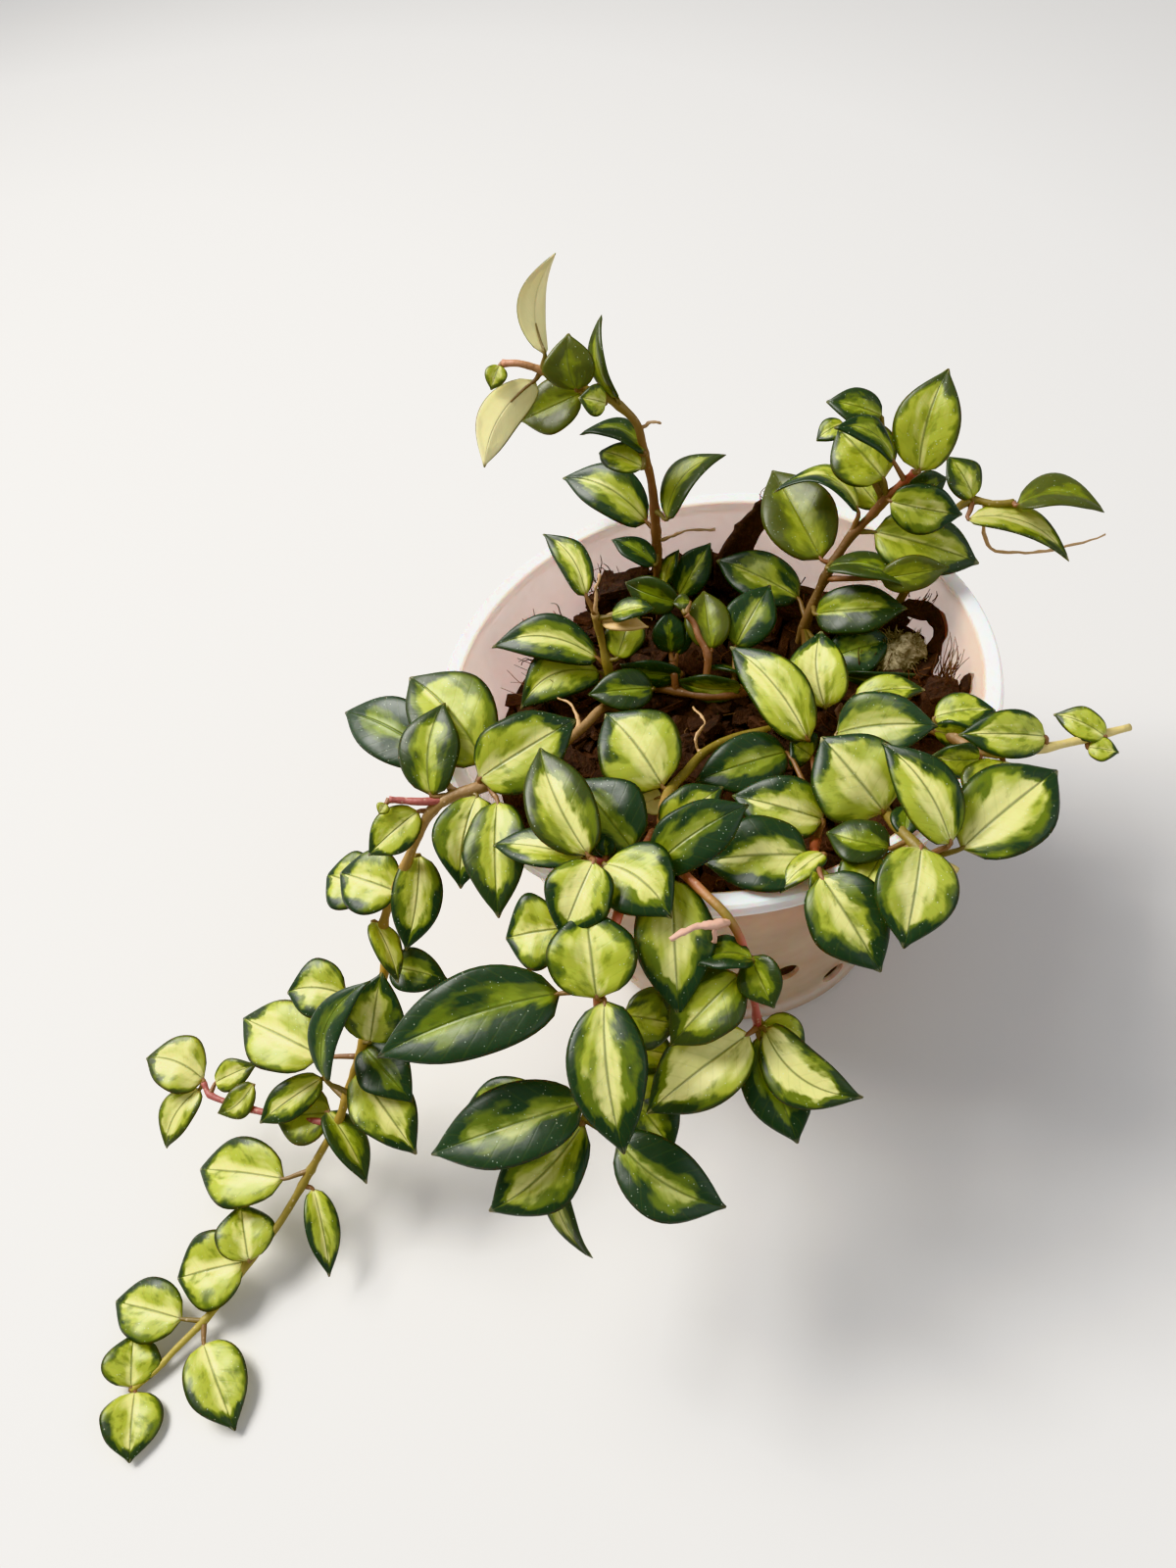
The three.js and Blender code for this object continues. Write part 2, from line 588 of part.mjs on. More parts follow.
// The pot: one turned shell with a rolled rim, and drain holes in its wall and floor
function wallRadius(height) {
  return THREE.MathUtils.lerp(BASE_RADIUS, WALL_TOP_RADIUS, height / (POT_HEIGHT - RIM_DROP));
}

function radialDrill(bearing, height) {
  const drill = new THREE.CylinderGeometry(DRAIN_RADIUS, DRAIN_RADIUS, DRAIN_DRILL_LENGTH, DRAIN_SIDES);
  drill.rotateZ(Math.PI / 2);
  drill.translate(wallRadius(height), 0, 0);
  drill.rotateZ(THREE.MathUtils.degToRad(bearing));
  drill.translate(0, 0, height);
  return solid(drill);
}

function makePot() {
  const rimFoot = POT_HEIGHT - RIM_DROP;
  const wallTop = rimFoot - RIM_ROUNDING;
  const profile = [
    [0, 0],
    [BASE_RADIUS - BASE_ROUNDING, 0],
    [BASE_RADIUS, BASE_ROUNDING],
    [wallRadius(WALL_BEND_HEIGHT), WALL_BEND_HEIGHT],
    [wallRadius(wallTop), wallTop],
    [RIM_RADIUS - RIM_ROUNDING, rimFoot],
    [RIM_RADIUS, rimFoot + 2 * RIM_ROUNDING],
    [RIM_RADIUS - RIM_ROUNDING, POT_HEIGHT - RIM_ROUNDING],
    [RIM_RADIUS - RIM_LIP, POT_HEIGHT],
    [RIM_INNER_RADIUS + RIM_ROUNDING, POT_HEIGHT],
    [RIM_INNER_RADIUS, POT_HEIGHT - RIM_ROUNDING],
    [wallRadius(WALL_BEND_HEIGHT) - WALL, WALL_BEND_HEIGHT],
    [BASE_RADIUS - WALL, FLOOR],
    [0, FLOOR],
  ].map(([radius, height]) => new THREE.Vector2(radius, height));
  const lathe = new THREE.LatheGeometry(profile, POT_SIDES);
  lathe.rotateX(Math.PI / 2);
  let pot = solid(lathe);
  const step = 360 / DRAINS_IN_A_RING;
  for (const ring of [UPPER_DRAINS, LOWER_DRAINS]) {
    for (let count = 0; count < DRAINS_IN_A_RING; count += 1) {
      pot = pot.subtract(radialDrill(ring.firstBearing + count * step, ring.height));
    }
  }
  for (let count = 0; count < FLOOR_DRAINS.count; count += 1) {
    const drill = new THREE.CylinderGeometry(DRAIN_RADIUS, DRAIN_RADIUS, DRAIN_DRILL_LENGTH, DRAIN_SIDES);
    drill.rotateX(Math.PI / 2);
    drill.translate(FLOOR_DRAINS.ring, 0, 0);
    drill.rotateZ((count / FLOOR_DRAINS.count) * Math.PI * 2);
    pot = pot.subtract(solid(drill));
  }
  return pot;
}

// A repeatable stream of numbers, each between the two that are asked for
const DRAW_FACTOR = 16807;
const DRAW_RANGE = 2147483647;

function seededDraws(seed) {
  let state = seed;
  return (least, most) => {
    state = (state * DRAW_FACTOR) % DRAW_RANGE;
    return THREE.MathUtils.lerp(least, most, state / DRAW_RANGE);
  };
}

// A husk splinter or fibre clump from one point to another, flat across its length
function splinter([from, to, startWidth, endWidth, depth, roll], grow = 0) {
  const start = sight(...from);
  const end = sight(...to);
  const ahead = end.clone().sub(start);
  const length = ahead.length();
  const startRadius = startWidth / 2 + grow;
  const endRadius = endWidth / 2 + grow;
  const shape = new THREE.CylinderGeometry(endRadius, startRadius, length + 2 * grow, SPLINTER_SIDES);
  shape.scale(1, 1, (depth / 2 + grow) / startRadius);
  shape.rotateY(THREE.MathUtils.degToRad(roll));
  shape.applyQuaternion(new THREE.Quaternion().setFromUnitVectors(
    new THREE.Vector3(0, 1, 0),
    ahead.normalize(),
  ));
  const middle = start.add(end).divideScalar(2);
  shape.translate(middle.x, middle.y, middle.z);
  return solid(shape);
}

// The filling: a bed of coarse husk chips, filling the pot to just under its rim
function makeFill() {
  const inside = (height) => wallRadius(height) - WALL - FILL_GAP - FACET_SLACK;
  const profile = [
    [0, FLOOR + FILL_GAP],
    [inside(0), FLOOR + FILL_GAP],
    [inside(WALL_BEND_HEIGHT), WALL_BEND_HEIGHT],
    [inside(FILL_TOP), FILL_TOP - FILL_SHOULDER.drop],
    [inside(FILL_TOP) - FILL_SHOULDER.inset, FILL_TOP],
    [0, FILL_TOP - FILL_MIDDLE_DIP],
  ].map(([radius, height]) => new THREE.Vector2(radius, height));
  const lathe = new THREE.LatheGeometry(profile, FILL_SIDES);
  lathe.rotateX(Math.PI / 2);
  const draw = seededDraws(CHIP_SEED);
  const parts = [solid(lathe)];
  for (let count = 0; count < CHIP_COUNT; count += 1) {
    const reach = Math.sqrt((count + 0.5) / CHIP_COUNT) * CHIP_REACH;
    const bearing = count * CHIP_TURN;
    const chip = new THREE.BoxGeometry(
      draw(...CHIP_SIZE.length),
      draw(...CHIP_SIZE.breadth),
      draw(...CHIP_SIZE.height),
    );
    chip.rotateX(draw(-CHIP_TILT.across / 2, CHIP_TILT.across / 2));
    chip.rotateY(draw(-CHIP_TILT.along / 2, CHIP_TILT.along / 2));
    chip.rotateZ(draw(0, Math.PI));
    chip.translate(reach * Math.cos(bearing), reach * Math.sin(bearing), FILL_TOP - draw(...CHIP_SINK));
    parts.push(solid(chip));
  }
  return joined(parts);
}

const group = new THREE.Group();
group.add(named('nursery_pot', makePot(), finish('#e9e4df', 0.35)));

let fill = makeFill();
for (const vine of VINES) {
  const points = seenPoints(vine.stem);
  const buried = points.filter((point) => point.z < FILL_TOP + STEM_HOLE_REACH).length;
  const stump = tube(points.slice(0, Math.max(2, buried + 1)), STEM_RADIUS + HOLE_CLEARANCE, STEM_SIDES);
  fill = fill.subtract(stump);
}
for (const { name, splinters, color } of CHUNKS) {
  fill = fill.subtract(joined(splinters.map((piece) => splinter(piece, HOLE_CLEARANCE))));
  group.add(named(name, joined(splinters.map((piece) => splinter(piece))), finish(color, 0.95)));
}
group.add(named('husk_bed', fill, finish('#3a2118', 0.95)));

for (const vine of VINES) {
  group.add(named(vine.name, joined(vinePieces(vine)), finish('#6f8f2a', 0.45)));
}

export default group;
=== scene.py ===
# %% [markdown]
# # A variegated waxflower vine in a clear nursery pot
#
# The real thing is a small climbing plant: thin woody stems, pairs of pointed waxy leaves with a
# lime or cream heart and dark green margins, and short aerial roots. It grows in coarse husk chips
# in a thin frosted pot, spills over the rim, and trails a long stem down to the surface.
#
# The solid model fixes every size and place. This script loads it and then builds finer pieces on
# the same places: leaves with real curves, knobbly stems, loose husk chips, a thin pot.

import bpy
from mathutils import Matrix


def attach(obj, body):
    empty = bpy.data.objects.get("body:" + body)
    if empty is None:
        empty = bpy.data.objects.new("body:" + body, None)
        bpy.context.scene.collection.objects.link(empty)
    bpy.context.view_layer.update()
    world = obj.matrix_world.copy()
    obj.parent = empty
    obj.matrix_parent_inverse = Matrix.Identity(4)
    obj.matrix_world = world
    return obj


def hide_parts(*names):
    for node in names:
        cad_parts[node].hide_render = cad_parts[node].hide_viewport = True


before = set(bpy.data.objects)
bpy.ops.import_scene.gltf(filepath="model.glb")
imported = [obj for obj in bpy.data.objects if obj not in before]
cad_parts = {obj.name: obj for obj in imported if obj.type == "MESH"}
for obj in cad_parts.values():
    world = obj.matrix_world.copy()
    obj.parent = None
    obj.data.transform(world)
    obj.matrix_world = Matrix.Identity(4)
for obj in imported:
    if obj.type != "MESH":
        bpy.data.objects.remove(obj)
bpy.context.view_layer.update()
print("solid pieces:", len(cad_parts))

# %% Tools of the trade
import math
import random
from functools import partial

import bmesh
import bpy
from mathutils import Matrix, Quaternion, Vector
from mathutils.geometry import interpolate_bezier
from mathutils.noise import noise_vector, seed_set

MM = 0.001
UP = Vector((0, 0, 1))
NOISE_SEED = 5
seed_set(NOISE_SEED)


def each_once(items):
    """The items in the order they come in, each one once; a set would mix them at every run."""
    return list(dict.fromkeys(items))


# %% [markdown]
# ## The point of view
#
# Every place on the plant was read off one view from above and in front: so far across, so far
# down, in a frame 1200 wide and 1600 high. A place in a view is only a line of sight, so each
# reading also has a height in millimetres above the pot's foot, and the two together fix a point.
# The camera stands at the same point of view, so the same numbers serve for both.

# %% Camera and lines of sight
EYE = Vector((-31.22, -182.4, 281.67)) * MM
VIEW_MIDDLE = (600, 800)
VIEW_FOCAL = 1274.4
VIEW_LONG_SIDE = 1600
VIEW_DIP = math.radians(50.63)
VIEW_ROLL = math.radians(-13.89)
SENSOR = 36

view_ahead = Vector((0, math.cos(VIEW_DIP), -math.sin(VIEW_DIP)))
view_right = Quaternion(view_ahead, -VIEW_ROLL) @ Vector((1, 0, 0))
view_up = view_right.cross(view_ahead)

camera_data = bpy.data.cameras.new("view_from_above")
camera_data.sensor_width = SENSOR
camera_data.lens = SENSOR * VIEW_FOCAL / VIEW_LONG_SIDE
camera_data.clip_start = 0.01
camera = bpy.data.objects.new("view_from_above", camera_data)
camera.matrix_world = Matrix.LocRotScale(
    EYE, Matrix((view_right, view_up, -view_ahead)).transposed().to_quaternion(), None
)
bpy.context.collection.objects.link(camera)
bpy.context.scene.camera = camera


def sight(across, down, height):
    """The point seen at that place of the view, at that height in mm."""
    ray = view_ahead.copy()
    ray += view_right * (across - VIEW_MIDDLE[0]) / VIEW_FOCAL
    ray += view_up * (VIEW_MIDDLE[1] - down) / VIEW_FOCAL
    return EYE + ray * ((height * MM - EYE.z) / ray.z)


print("camera dips by", round(math.degrees(VIEW_DIP), 1), "degrees")

# %% [markdown]
# ## Where each stem and leaf is
#
# A stem is a list of (across, down, height). A leaf is three brackets. The first gives its place:
# the point of the stem that it grows from, the base of its blade and its tip as they are seen, how
# far the base is above the stem and the tip above the base, the blade's width in mm, and its roll
# about its own length (0 faces the view, 180 shows the underside). The second gives its looks:
# how much of it is pale, to which side the pale part leans, its tone from blue-green (-1) to olive
# (1), and how creamy the pale part is. A third, where there is one, bends it in its own way, or
# says that it has dried.
# The bark list names the stem's colours from its root to its end.

# %% Sightings
VINES = {
    "back_left_vine": {
        "stem": [
            (676, 618, 62), (672, 592, 74), (670, 556, 86), (668, 520, 96), (664, 488, 104),
            (657, 462, 111), (650, 433, 118), (632, 414, 123), (614, 403, 126), (595, 397, 128),
            (572, 387, 130), (553, 378, 132), (530, 371, 134), (513, 371, 134),
        ],
        "bark": [(0, "brown"), (4, "russet"), (8, "olive"), (14, "rose")],
        "leaves": [
            ((11, 556, 362, 567, 258, 4, 16, 9, -128), (0.95, 0, 0.4, 0.9), {"arch": 0.24}),
            ((9, 588, 398, 580, 340, 2, 10, 11, 0), (0.12, 0, 0.9, 0), {"sweep": -0.08}),
            ((9, 594, 402, 532, 430, -3, -5, 12.5, 10), (0.2, 0, 0.9, 0), {"sweep": -0.05}),
            ((11, 546, 388, 494, 477, -2, -9, 9.5, 165), (0.9, 0, 0.3, 0.8), {"sweep": -0.11}),
            ((7, 631, 408, 614, 321, 2, 15, 7.5, -62), (0.2, 0, 0.4, 0), {"arch": 0.16}),
            ((8, 618, 412, 590, 406, 1, 3, 7, 0), (0.6, 0, 0.3, 0.3)),
            ((5, 658, 463, 591, 444, 1, 2, 8.5, 40), (0.15, 0, 0.1, 0),
             {"arch": 0.12, "sweep": 0.19}),
            ((5, 656, 478, 611, 462, -2, 0, 9, 20), (0.7, 0, 0.2, 0.2)),
            ((2.4, 660, 533, 574, 488, 2, 5, 12.5, 0), (0.5, -0.1, -0.2, 0.2), {"sweep": 0.1}),
            ((3, 681, 530, 741, 464, 1, 9, 12, -40), (0.35, -0.3, 0.3, 0),
             {"arch": 0.12, "sweep": -0.14}),
            ((1.8, 668, 577, 624, 551, 1, 4, 8, 30), (0.1, 0, -0.2, 0)),
            ((0.8, 693, 608, 725, 554, 2, 8, 9, 0), (0.25, 0, 0, 0.1)),
            ((1, 679, 598, 693, 561, 1, 8, 6, -40), (0.6, 0, 0, 0.3)),
            ((13, 510, 373, 501, 398, 0, -3, 5, 0), (0.7, 0, 0.8, 0.4)),
        ],
        "roots": [
            [6, (655, 437, 117), (665, 431, 119), (675, 433, 118)],
            [2.2, (678, 550, 88), (700, 542, 92), (730, 540, 93)],
        ],
    },
    "left_short_vine": {
        "stem": [
            (627, 731, 61), (624, 705, 71), (620, 680, 78), (613, 650, 85), (607, 626, 92),
        ],
        "bark": [(0, "brown"), (2, "olive"), (5, "tan")],
        "leaves": [
            ((4, 598, 608, 554, 545, 4, 8, 7.5, 0), (0.5, 0, 0.1, 0.5), {"sweep": 0.12}),
            ((2, 610, 672, 502, 661, 2, 2, 11, 0), (0.35, 0, -0.1, 0.5), {"sweep": 0.13}),
            ((1.6, 612, 686, 531, 724, 0, -3, 12.5, 0), (0.5, 0, -0.1, 0.2), {"sweep": 0.18}),
            ((2.2, 630, 672, 648, 620, 1, 6, 9, 0), (0.7, 0, 0.2, 0.2)),
            ((3.8, 624, 629, 668, 621, 1, 2, 7, -30), (0.35, 0, 0.1, 0.2)),
            ((3.4, 614, 634, 662, 640, 1, 0, 4.5, 0), (1.3, 0, 0.2, 1.5),
             {"dry": "dried", "fold": 40}),
        ],
        "roots": [
            [4, (608, 614, 95), (608, 600, 98), (611, 586, 101)],
        ],
    },
    "centre_shoots": {
        "stem": [
            (636, 686, 62), (655, 697, 70.6), (690, 705, 71.4), (721, 710, 71.6), (752, 708, 71.6),
            (776, 702, 64),
        ],
        "bark": [(0, "brown"), (5, "russet")],
        "leaves": [
            ((1.5, 696, 687, 632, 678, 4, 2, 8, -50), (0.05, 0, -0.2, 0)),
            ((3.6, 757, 701, 690, 694, 2, 0, 9, -55), (0.35, 0, 0.1, 0.2)),
            ((4.2, 772, 697, 720, 682, 2, 3, 8, 70), (0.1, 0, 0, 0.1)),
            ((1, 667, 703, 600, 709, 4, 2, 10, 0), (0.1, 0, 0.1, 0)),
            ((3.9, 750, 660, 786, 597, 6, 7, 11.5, 0), (0.3, 0, -0.5, 0.1)),
        ],
        "shoots": [
            {
                "path": [
                    3, (721, 690, 75), (722, 668, 79), (713, 650, 82), (708, 636, 84),
                    (700, 627, 86),
                ],
                "leaves": [
                    ((2, 726, 663, 718, 603, 0, 6, 10.5, 0), (0.15, 0, 0.9, 0)),
                    ((5, 692, 614, 638, 594, 1, 2, 9, -35), (0.05, 0, 0.2, 0)),
                    ((5, 704, 614, 686, 616, 1, 0, 4, 0), (0.15, 0, 0.5, 0)),
                ],
            },
            {
                "path": [2, (688, 690, 75), (686, 676, 77)],
                "leaves": [
                    ((2, 684, 666, 682, 622, 0, 8, 8, 0), (0.05, 0, 0, 0)),
                    ((1.2, 691, 668, 704, 632, -1, 3, 5, 0), (0.15, 0, 0, 0.1)),
                ],
            },
        ],
    },
    "back_right_vine": {
        "stem": [
            (812, 668, 62), (820, 641, 72), (836, 602, 82), (851, 573, 90), (869, 546, 96),
            (889, 526, 101), (905, 508, 106), (921, 493, 110), (933, 482, 113),
        ],
        "bark": [(0, "tan"), (3, "brown"), (6, "russet"), (8, "red")],
        "leaves": [
            ((2.9, 838, 571, 788, 480, 1, 8, 16, 0), (0.3, 0, 0.8, 0)),
            ((4, 876, 523, 789, 503, 6, 2, 11, 50), (0.5, 0.3, -0.1, 0.3),
             {"arch": 0.2, "sweep": 0.25}),
            ((5.6, 900, 426, 843, 410, 14, 4, 9, 15), (0.25, 0, 0.1, 0.1)),
            ((5.8, 862, 433, 833, 450, 12, -2, 6, 20), (0.6, 0, 0.1, 0.2)),
            ((6, 902, 489, 854, 437, 5, 6, 14.5, 0), (0.75, 0, 0.3, 0.2)),
            ((7.2, 911, 470, 851, 437, 6, 9, 8.5, 35), (0.3, 0, 0, 0.1), {"sweep": 0.15}),
            ((8, 938, 481, 968, 376, 1, 16, 13.5, 0), (0.85, 0, 0.4, 0.3), {"sweep": -0.05}),
            ((4.2, 892, 543, 999, 575, 0, -6, 14.5, 0), (0.65, 0, 0.1, 0.3)),
            ((6, 908, 511, 982, 525, 1, -3, 11, 25), (0.6, 0, -0.3, 0.4)),
            ((6.4, 925, 503, 966, 487, -1, 1, 8, 40), (0.2, 0, 0.1, 0)),
            ((3, 844, 580, 921, 598, 2, 0, 10, -40), (0.05, 0, 0.3, 0), {"sweep": -0.1}),
            ((1.6, 832, 627, 926, 621, 2, 4, 12, 0), (0.3, -0.3, 0.1, 0.2)),
            ((2.4, 898, 590, 968, 578, 7, 1, 8, 20), (0.25, 0, 0.9, 0)),
            ((1, 848, 672, 911, 653, 2, 2, 12, 0), (0.15, 0, -0.5, 0)),
            ((1.2, 815, 611, 731, 572, 2, 4, 13, 10), (0.35, 0.1, -0.3, 0.2)),
            ((1, 842, 723, 838, 644, 6, 7, 13.5, 0), (0.9, 0, 0, 0.6), {"sweep": -0.08}),
            ((1, 825, 756, 745, 660, 8, 8, 12.5, 0), (0.75, 0, 0, 0.5), {"sweep": 0.06}),
            ((5.2, 897, 518, 868, 484, -4, 3, 8, 0), (0.8, 0, 0.3, 0.3)),
            ((1, 862, 688, 935, 688, 3, 0, 6, 60), (0.15, 0, -0.2, 0)),
        ],
    },
    "far_right_vine": {
        "stem": [
            (896, 656, 64), (908, 632, 73), (922, 606, 81.5), (944, 566, 90.5), (966, 530, 92.5),
            (990, 511, 92), (1013, 514, 92), (1034, 513, 91.5),
        ],
        "bark": [(0, "brown"), (7, "olive")],
        "leaves": [
            ((7, 1037, 516, 1127, 523, 1, -2, 14.5, -45), (0.1, 0, 0.8, 0),
             {"arch": 0.12, "sweep": -0.14}),
            ((5.1, 988, 530, 1091, 573, -1, -8, 11, -40), (0.85, 0, 0.4, 0.7), {"sweep": -0.14}),
            ((5, 992, 509, 966, 466, 1, 7, 10, 30), (0.5, 0, 0.2, 0.2)),
        ],
        "roots": [
            [5.6, (1008, 556, 82), (1040, 564, 79), (1080, 560, 78), (1128, 546, 78)],
        ],
    },
    "right_vine": {
        "stem": [
            (868, 716, 62), (886, 724, 72), (920, 735, 79), (960, 746, 85), (998, 765, 88.6),
            (1030, 768, 88.4), (1067, 763, 86), (1110, 753, 84), (1153, 742, 83),
        ],
        "bark": [(0, "brown"), (4, "tan"), (6, "cream"), (8, "cream")],
        "leaves": [
            ((6, 1067, 752, 978, 750, 2, 3, 10, 0), (0.7, 0.1, -0.1, 0.5)),
            ((3, 953, 733, 1016, 725, 2, 1, 9, -20), (0.6, 0, -0.1, 0.3)),
            ((3.4, 953, 744, 1000, 748, 0, 1, 6, 40), (0.4, 0, 0, 0.3)),
            ((7.3, 1128, 752, 1075, 729, 1, 1, 6.5, 0), (0.8, 0, 0.2, 0.5), {"sweep": 0.05}),
            ((7, 1110, 763, 1142, 768, -1, 0, 5, 0), (0.8, 0, 0.2, 0.5)),
            ((4, 1000, 773, 951, 771, 0, 1, 8, -40), (0.5, 0, 0.1, 0.2)),
            ((4.6, 1024, 776, 1008, 838, -1, -4, 14, 0), (0.75, 0, 0.5, 0.4)),
            ((1.8, 872, 712, 944, 704, 2, 2, 8, -20), (0.8, 0, 0.2, 0.3)),
        ],
    },
    "right_front_vine": {
        "stem": [
            (862, 772, 62), (876, 790, 73), (897, 820, 83.5), (920, 848, 89.8), (944, 871, 90.6),
            (962, 881, 89.5), (977, 889, 88.5),
        ],
        "bark": [(0, "brown"), (4, "olive"), (6, "cream")],
        "leaves": [
            ((4.4, 981, 866, 1079, 786, 2, 3, 17, 0), (0.6, 0, -0.2, 0.7)),
            ((4.2, 970, 861, 900, 758, 4, 10, 11, 0), (0.65, -0.2, -0.1, 0.5), {"sweep": 0.08}),
            ((2.2, 902, 829, 838, 752, 3, 8, 19, 0), (0.8, 0.1, -0.4, 0.5)),
            ((1.8, 853, 749, 957, 741, 6, 5, 14.5, 0), (0.5, 0, -0.7, 0.3), {"sweep": -0.03}),
            ((3.9, 940, 864, 922, 968, 4, -7, 15, -10), (0.75, 0.1, -0.3, 0.5)),
            ((2.8, 926, 824, 922, 858, 1, 0, 6, 0), (0.05, 0, 0, 0)),
            ((3.4, 908, 866, 843, 850, 0, 0, 10, 20), (0.2, 0, 0.2, 0),
             {"arch": 0.16, "sweep": -0.12}),
            ((3.6, 898, 876, 868, 932, -1.6, -1.6, 12, 0), (0.5, 0, 0.2, 0.2)),
        ],
    },
    "front_right_vine": {
        "stem": [
            (838, 800, 62), (836, 822, 72), (834, 845, 79), (831, 868, 85), (832, 874, 86),
        ],
        "bark": [(0, "brown"), (4, "red")],
        "leaves": [
            ((4, 838, 894, 899, 992, 4.6, -9, 15, 0), (0.45, 0.2, -0.2, 0.5)),
            ((3.6, 826, 874, 717, 880, 1, 0, 16, 10), (0.4, -0.3, -0.2, 0.5)),
            ((2.6, 840, 837, 747, 812, 3, 3, 13, 0), (0.65, 0, -0.2, 0.5)),
            ((1.2, 803, 768, 709, 798, 3, 1, 13, 0), (0.2, 0, -0.4, 0.1)),
            ((3.8, 842, 872, 796, 911, 2, -1, 6, 30), (0.85, 0, 0.4, 0.6)),
            ((3.9, 838, 886, 829, 926, 2, -1, 5, -30), (0.7, 0, 0.3, 0.4)),
            ((1.2, 828, 772, 806, 757, 1, 3, 9, 0), (0.3, 0, -0.2, 0.1)),
        ],
    },
    "front_pink_vine": {
        "stem": [
            (800, 741, 62), (780, 746, 70.8), (750, 753, 73), (720, 767, 76), (700, 788, 79),
            (683, 808, 82), (676, 845, 86), (690, 882, 89), (715, 908, 90), (742, 935, 89),
            (757, 962, 84), (766, 1000, 77), (771, 1030, 71), (773, 1048, 67),
        ],
        "bark": [
            (0, "olive"), (5, "olive"), (7, "pink"), (9, "olive"), (10, "pink"), (13, "mauve"),
        ],
        "leaves": [
            ((5, 676, 803, 618, 728, 1, 7, 18.5, 0), (0.8, 0, -0.1, 0.5), {"sweep": 0.04}),
            ((5.3, 676, 812, 648, 824, -2, -2, 7, 160), (0.8, 0, 0, 0.4)),
            ((6.8, 668, 884, 764, 821, 3, 6, 12, 10), (0.25, -0.3, -0.4, 0.2), {"sweep": -0.05}),
            ((6, 676, 848, 738, 803, -1, 4, 10, 0), (0.5, 0, -0.1, 0.2)),
            ((6.9, 685, 897, 693, 1037, 0.4, -11.5, 15, 0), (0.6, 0, -0.3, 0.4)),
            ((13, 764, 1055, 660, 1136, 2, -5, 15, 0), (0.8, 0, 0.1, 0.9)),
            ((13, 780, 1050, 881, 1120, 1, -5, 11.5, 0), (0.65, 0, 0.1, 0.9), {"sweep": 0.18}),
            ((13, 774, 1058, 814, 1167, 0, -10, 13, 0), (0.15, 0, 0, 0.3)),
            ((12.4, 778, 1044, 822, 1074, -4, -4, 9, 0), (0.85, 0, 0.2, 0.4)),
            ((10.8, 754, 995, 684, 1067, 1, -6, 13, 0), (0.4, 0, 0.3, 0.1)),
            ((10.8, 769, 980, 711, 985, 5, 1, 9, 35), (0.2, 0, -0.1, 0), {"sweep": 0.12}),
            ((10.9, 766, 976, 790, 1029, 5, -4, 9, 25), (0.25, 0, 0.2, 0), {"sweep": -0.05}),
        ],
        "roots": [
            [3, (713, 766, 76), (710, 752, 78), (719, 736, 77), (707, 722, 76)],
            [9.2, (726, 943, 91), (704, 947, 92), (685, 959, 91)],
            [9.2, (731, 947, 89), (728, 961, 87)],
        ],
    },
    "front_trailing_vine": {
        "stem": [
            (672, 840, 62), (662, 858, 73), (648, 888, 85.5), (634, 924, 90.6), (621, 965, 89),
            (612, 1010, 84), (610, 1050, 79), (607, 1090, 73), (603, 1120, 68), (597, 1142, 65),
        ],
        "bark": [(0, "brown"), (3, "pink"), (9, "olive")],
        "leaves": [
            ((5, 571, 1014, 385, 1079, 0, -3, 16, 0), (0.12, 0, -0.3, 0.05), {"sweep": 0.03}),
            ((5, 609, 1019, 598, 925, 2, 7, 17, 0), (0.75, 0, 0, 0.3)),
            ((4.2, 572, 948, 516, 958, -3, -2, 15, 0), (0.65, 0, 0, 0.3)),
            ((5.2, 617, 1021, 637, 1178, 2, -13, 14.5, 0), (0.45, 0, -0.2, 0.5), {"sweep": 0.04}),
            ((8.2, 595, 1126, 440, 1178, 2, -4, 15, 0), (0.2, 0, -0.5, 0.3)),
            ((9, 596, 1146, 499, 1236, -1, -9, 14, 0), (0.5, 0, 0, 0.3), {"sweep": -0.08}),
            ((8, 556, 1124, 472, 1136, -6, -4, 12, 0), (0.75, 0, 0, 0.4), {"sweep": -0.02}),
            ((9, 570, 1172, 605, 1284, -6, -16, 7.5, 45), (0.4, 0, 0.2, 0.3), {"sweep": 0.1}),
            ((9, 630, 1164, 741, 1232, -2, -7, 14, 0), (0.25, 0, -0.4, 0.3), {"sweep": 0.1}),
            ((7.6, 648, 1122, 687, 1174, -8, -5, 11, 0), (0.3, 0, -0.1, 0.1)),
            ((6, 636, 1036, 692, 1046, -5, -4, 12, 0), (0.4, 0, 0.3, 0.1)),
            ((6.6, 636, 1068, 690, 1078, -8, -4, 9, 0), (0.6, 0, 0.2, 0.2)),
            ((7, 640, 1098, 668, 1138, -9, -4, 11, 0), (0.7, 0, 0.2, 0.3)),
        ],
        "shoots": [
            {
                "path": [2, (625, 884, 89), (604, 877, 93)],
                "leaves": [
                    ((2, 606, 879, 573, 957, 4, -6, 13, 0), (0.6, 0, 0, 0.6)),
                    ((1.4, 617, 882, 686, 937, 2, -2, 15, 0), (0.6, 0, 0, 0.4), {"sweep": -0.1}),
                    ((2, 600, 873, 551, 763, 1, 7, 13.5, 0), (0.5, 0, 0.4, 0.6), {"sweep": -0.05}),
                    ((2, 596, 877, 503, 863, -1, -1, 9, 20), (0.5, 0, -0.1, 0.5)),
                    ((1.2, 646, 868, 588, 796, -2, 4, 16.5, 0), (0.2, 0, -0.3, 0.1)),
                    ((1.5, 618, 874, 618, 852, 0, 2, 4, 0), (0.05, 0, 0, 0)),
                ],
            },
        ],
    },
    "long_trailing_vine": {
        "stem": [
            (650, 748, 60), (622, 721, 71), (595, 742, 77), (560, 772, 83), (525, 790, 88),
            (491, 803, 90), (462, 812, 90), (441, 827, 88), (427, 852, 83), (413, 885, 76),
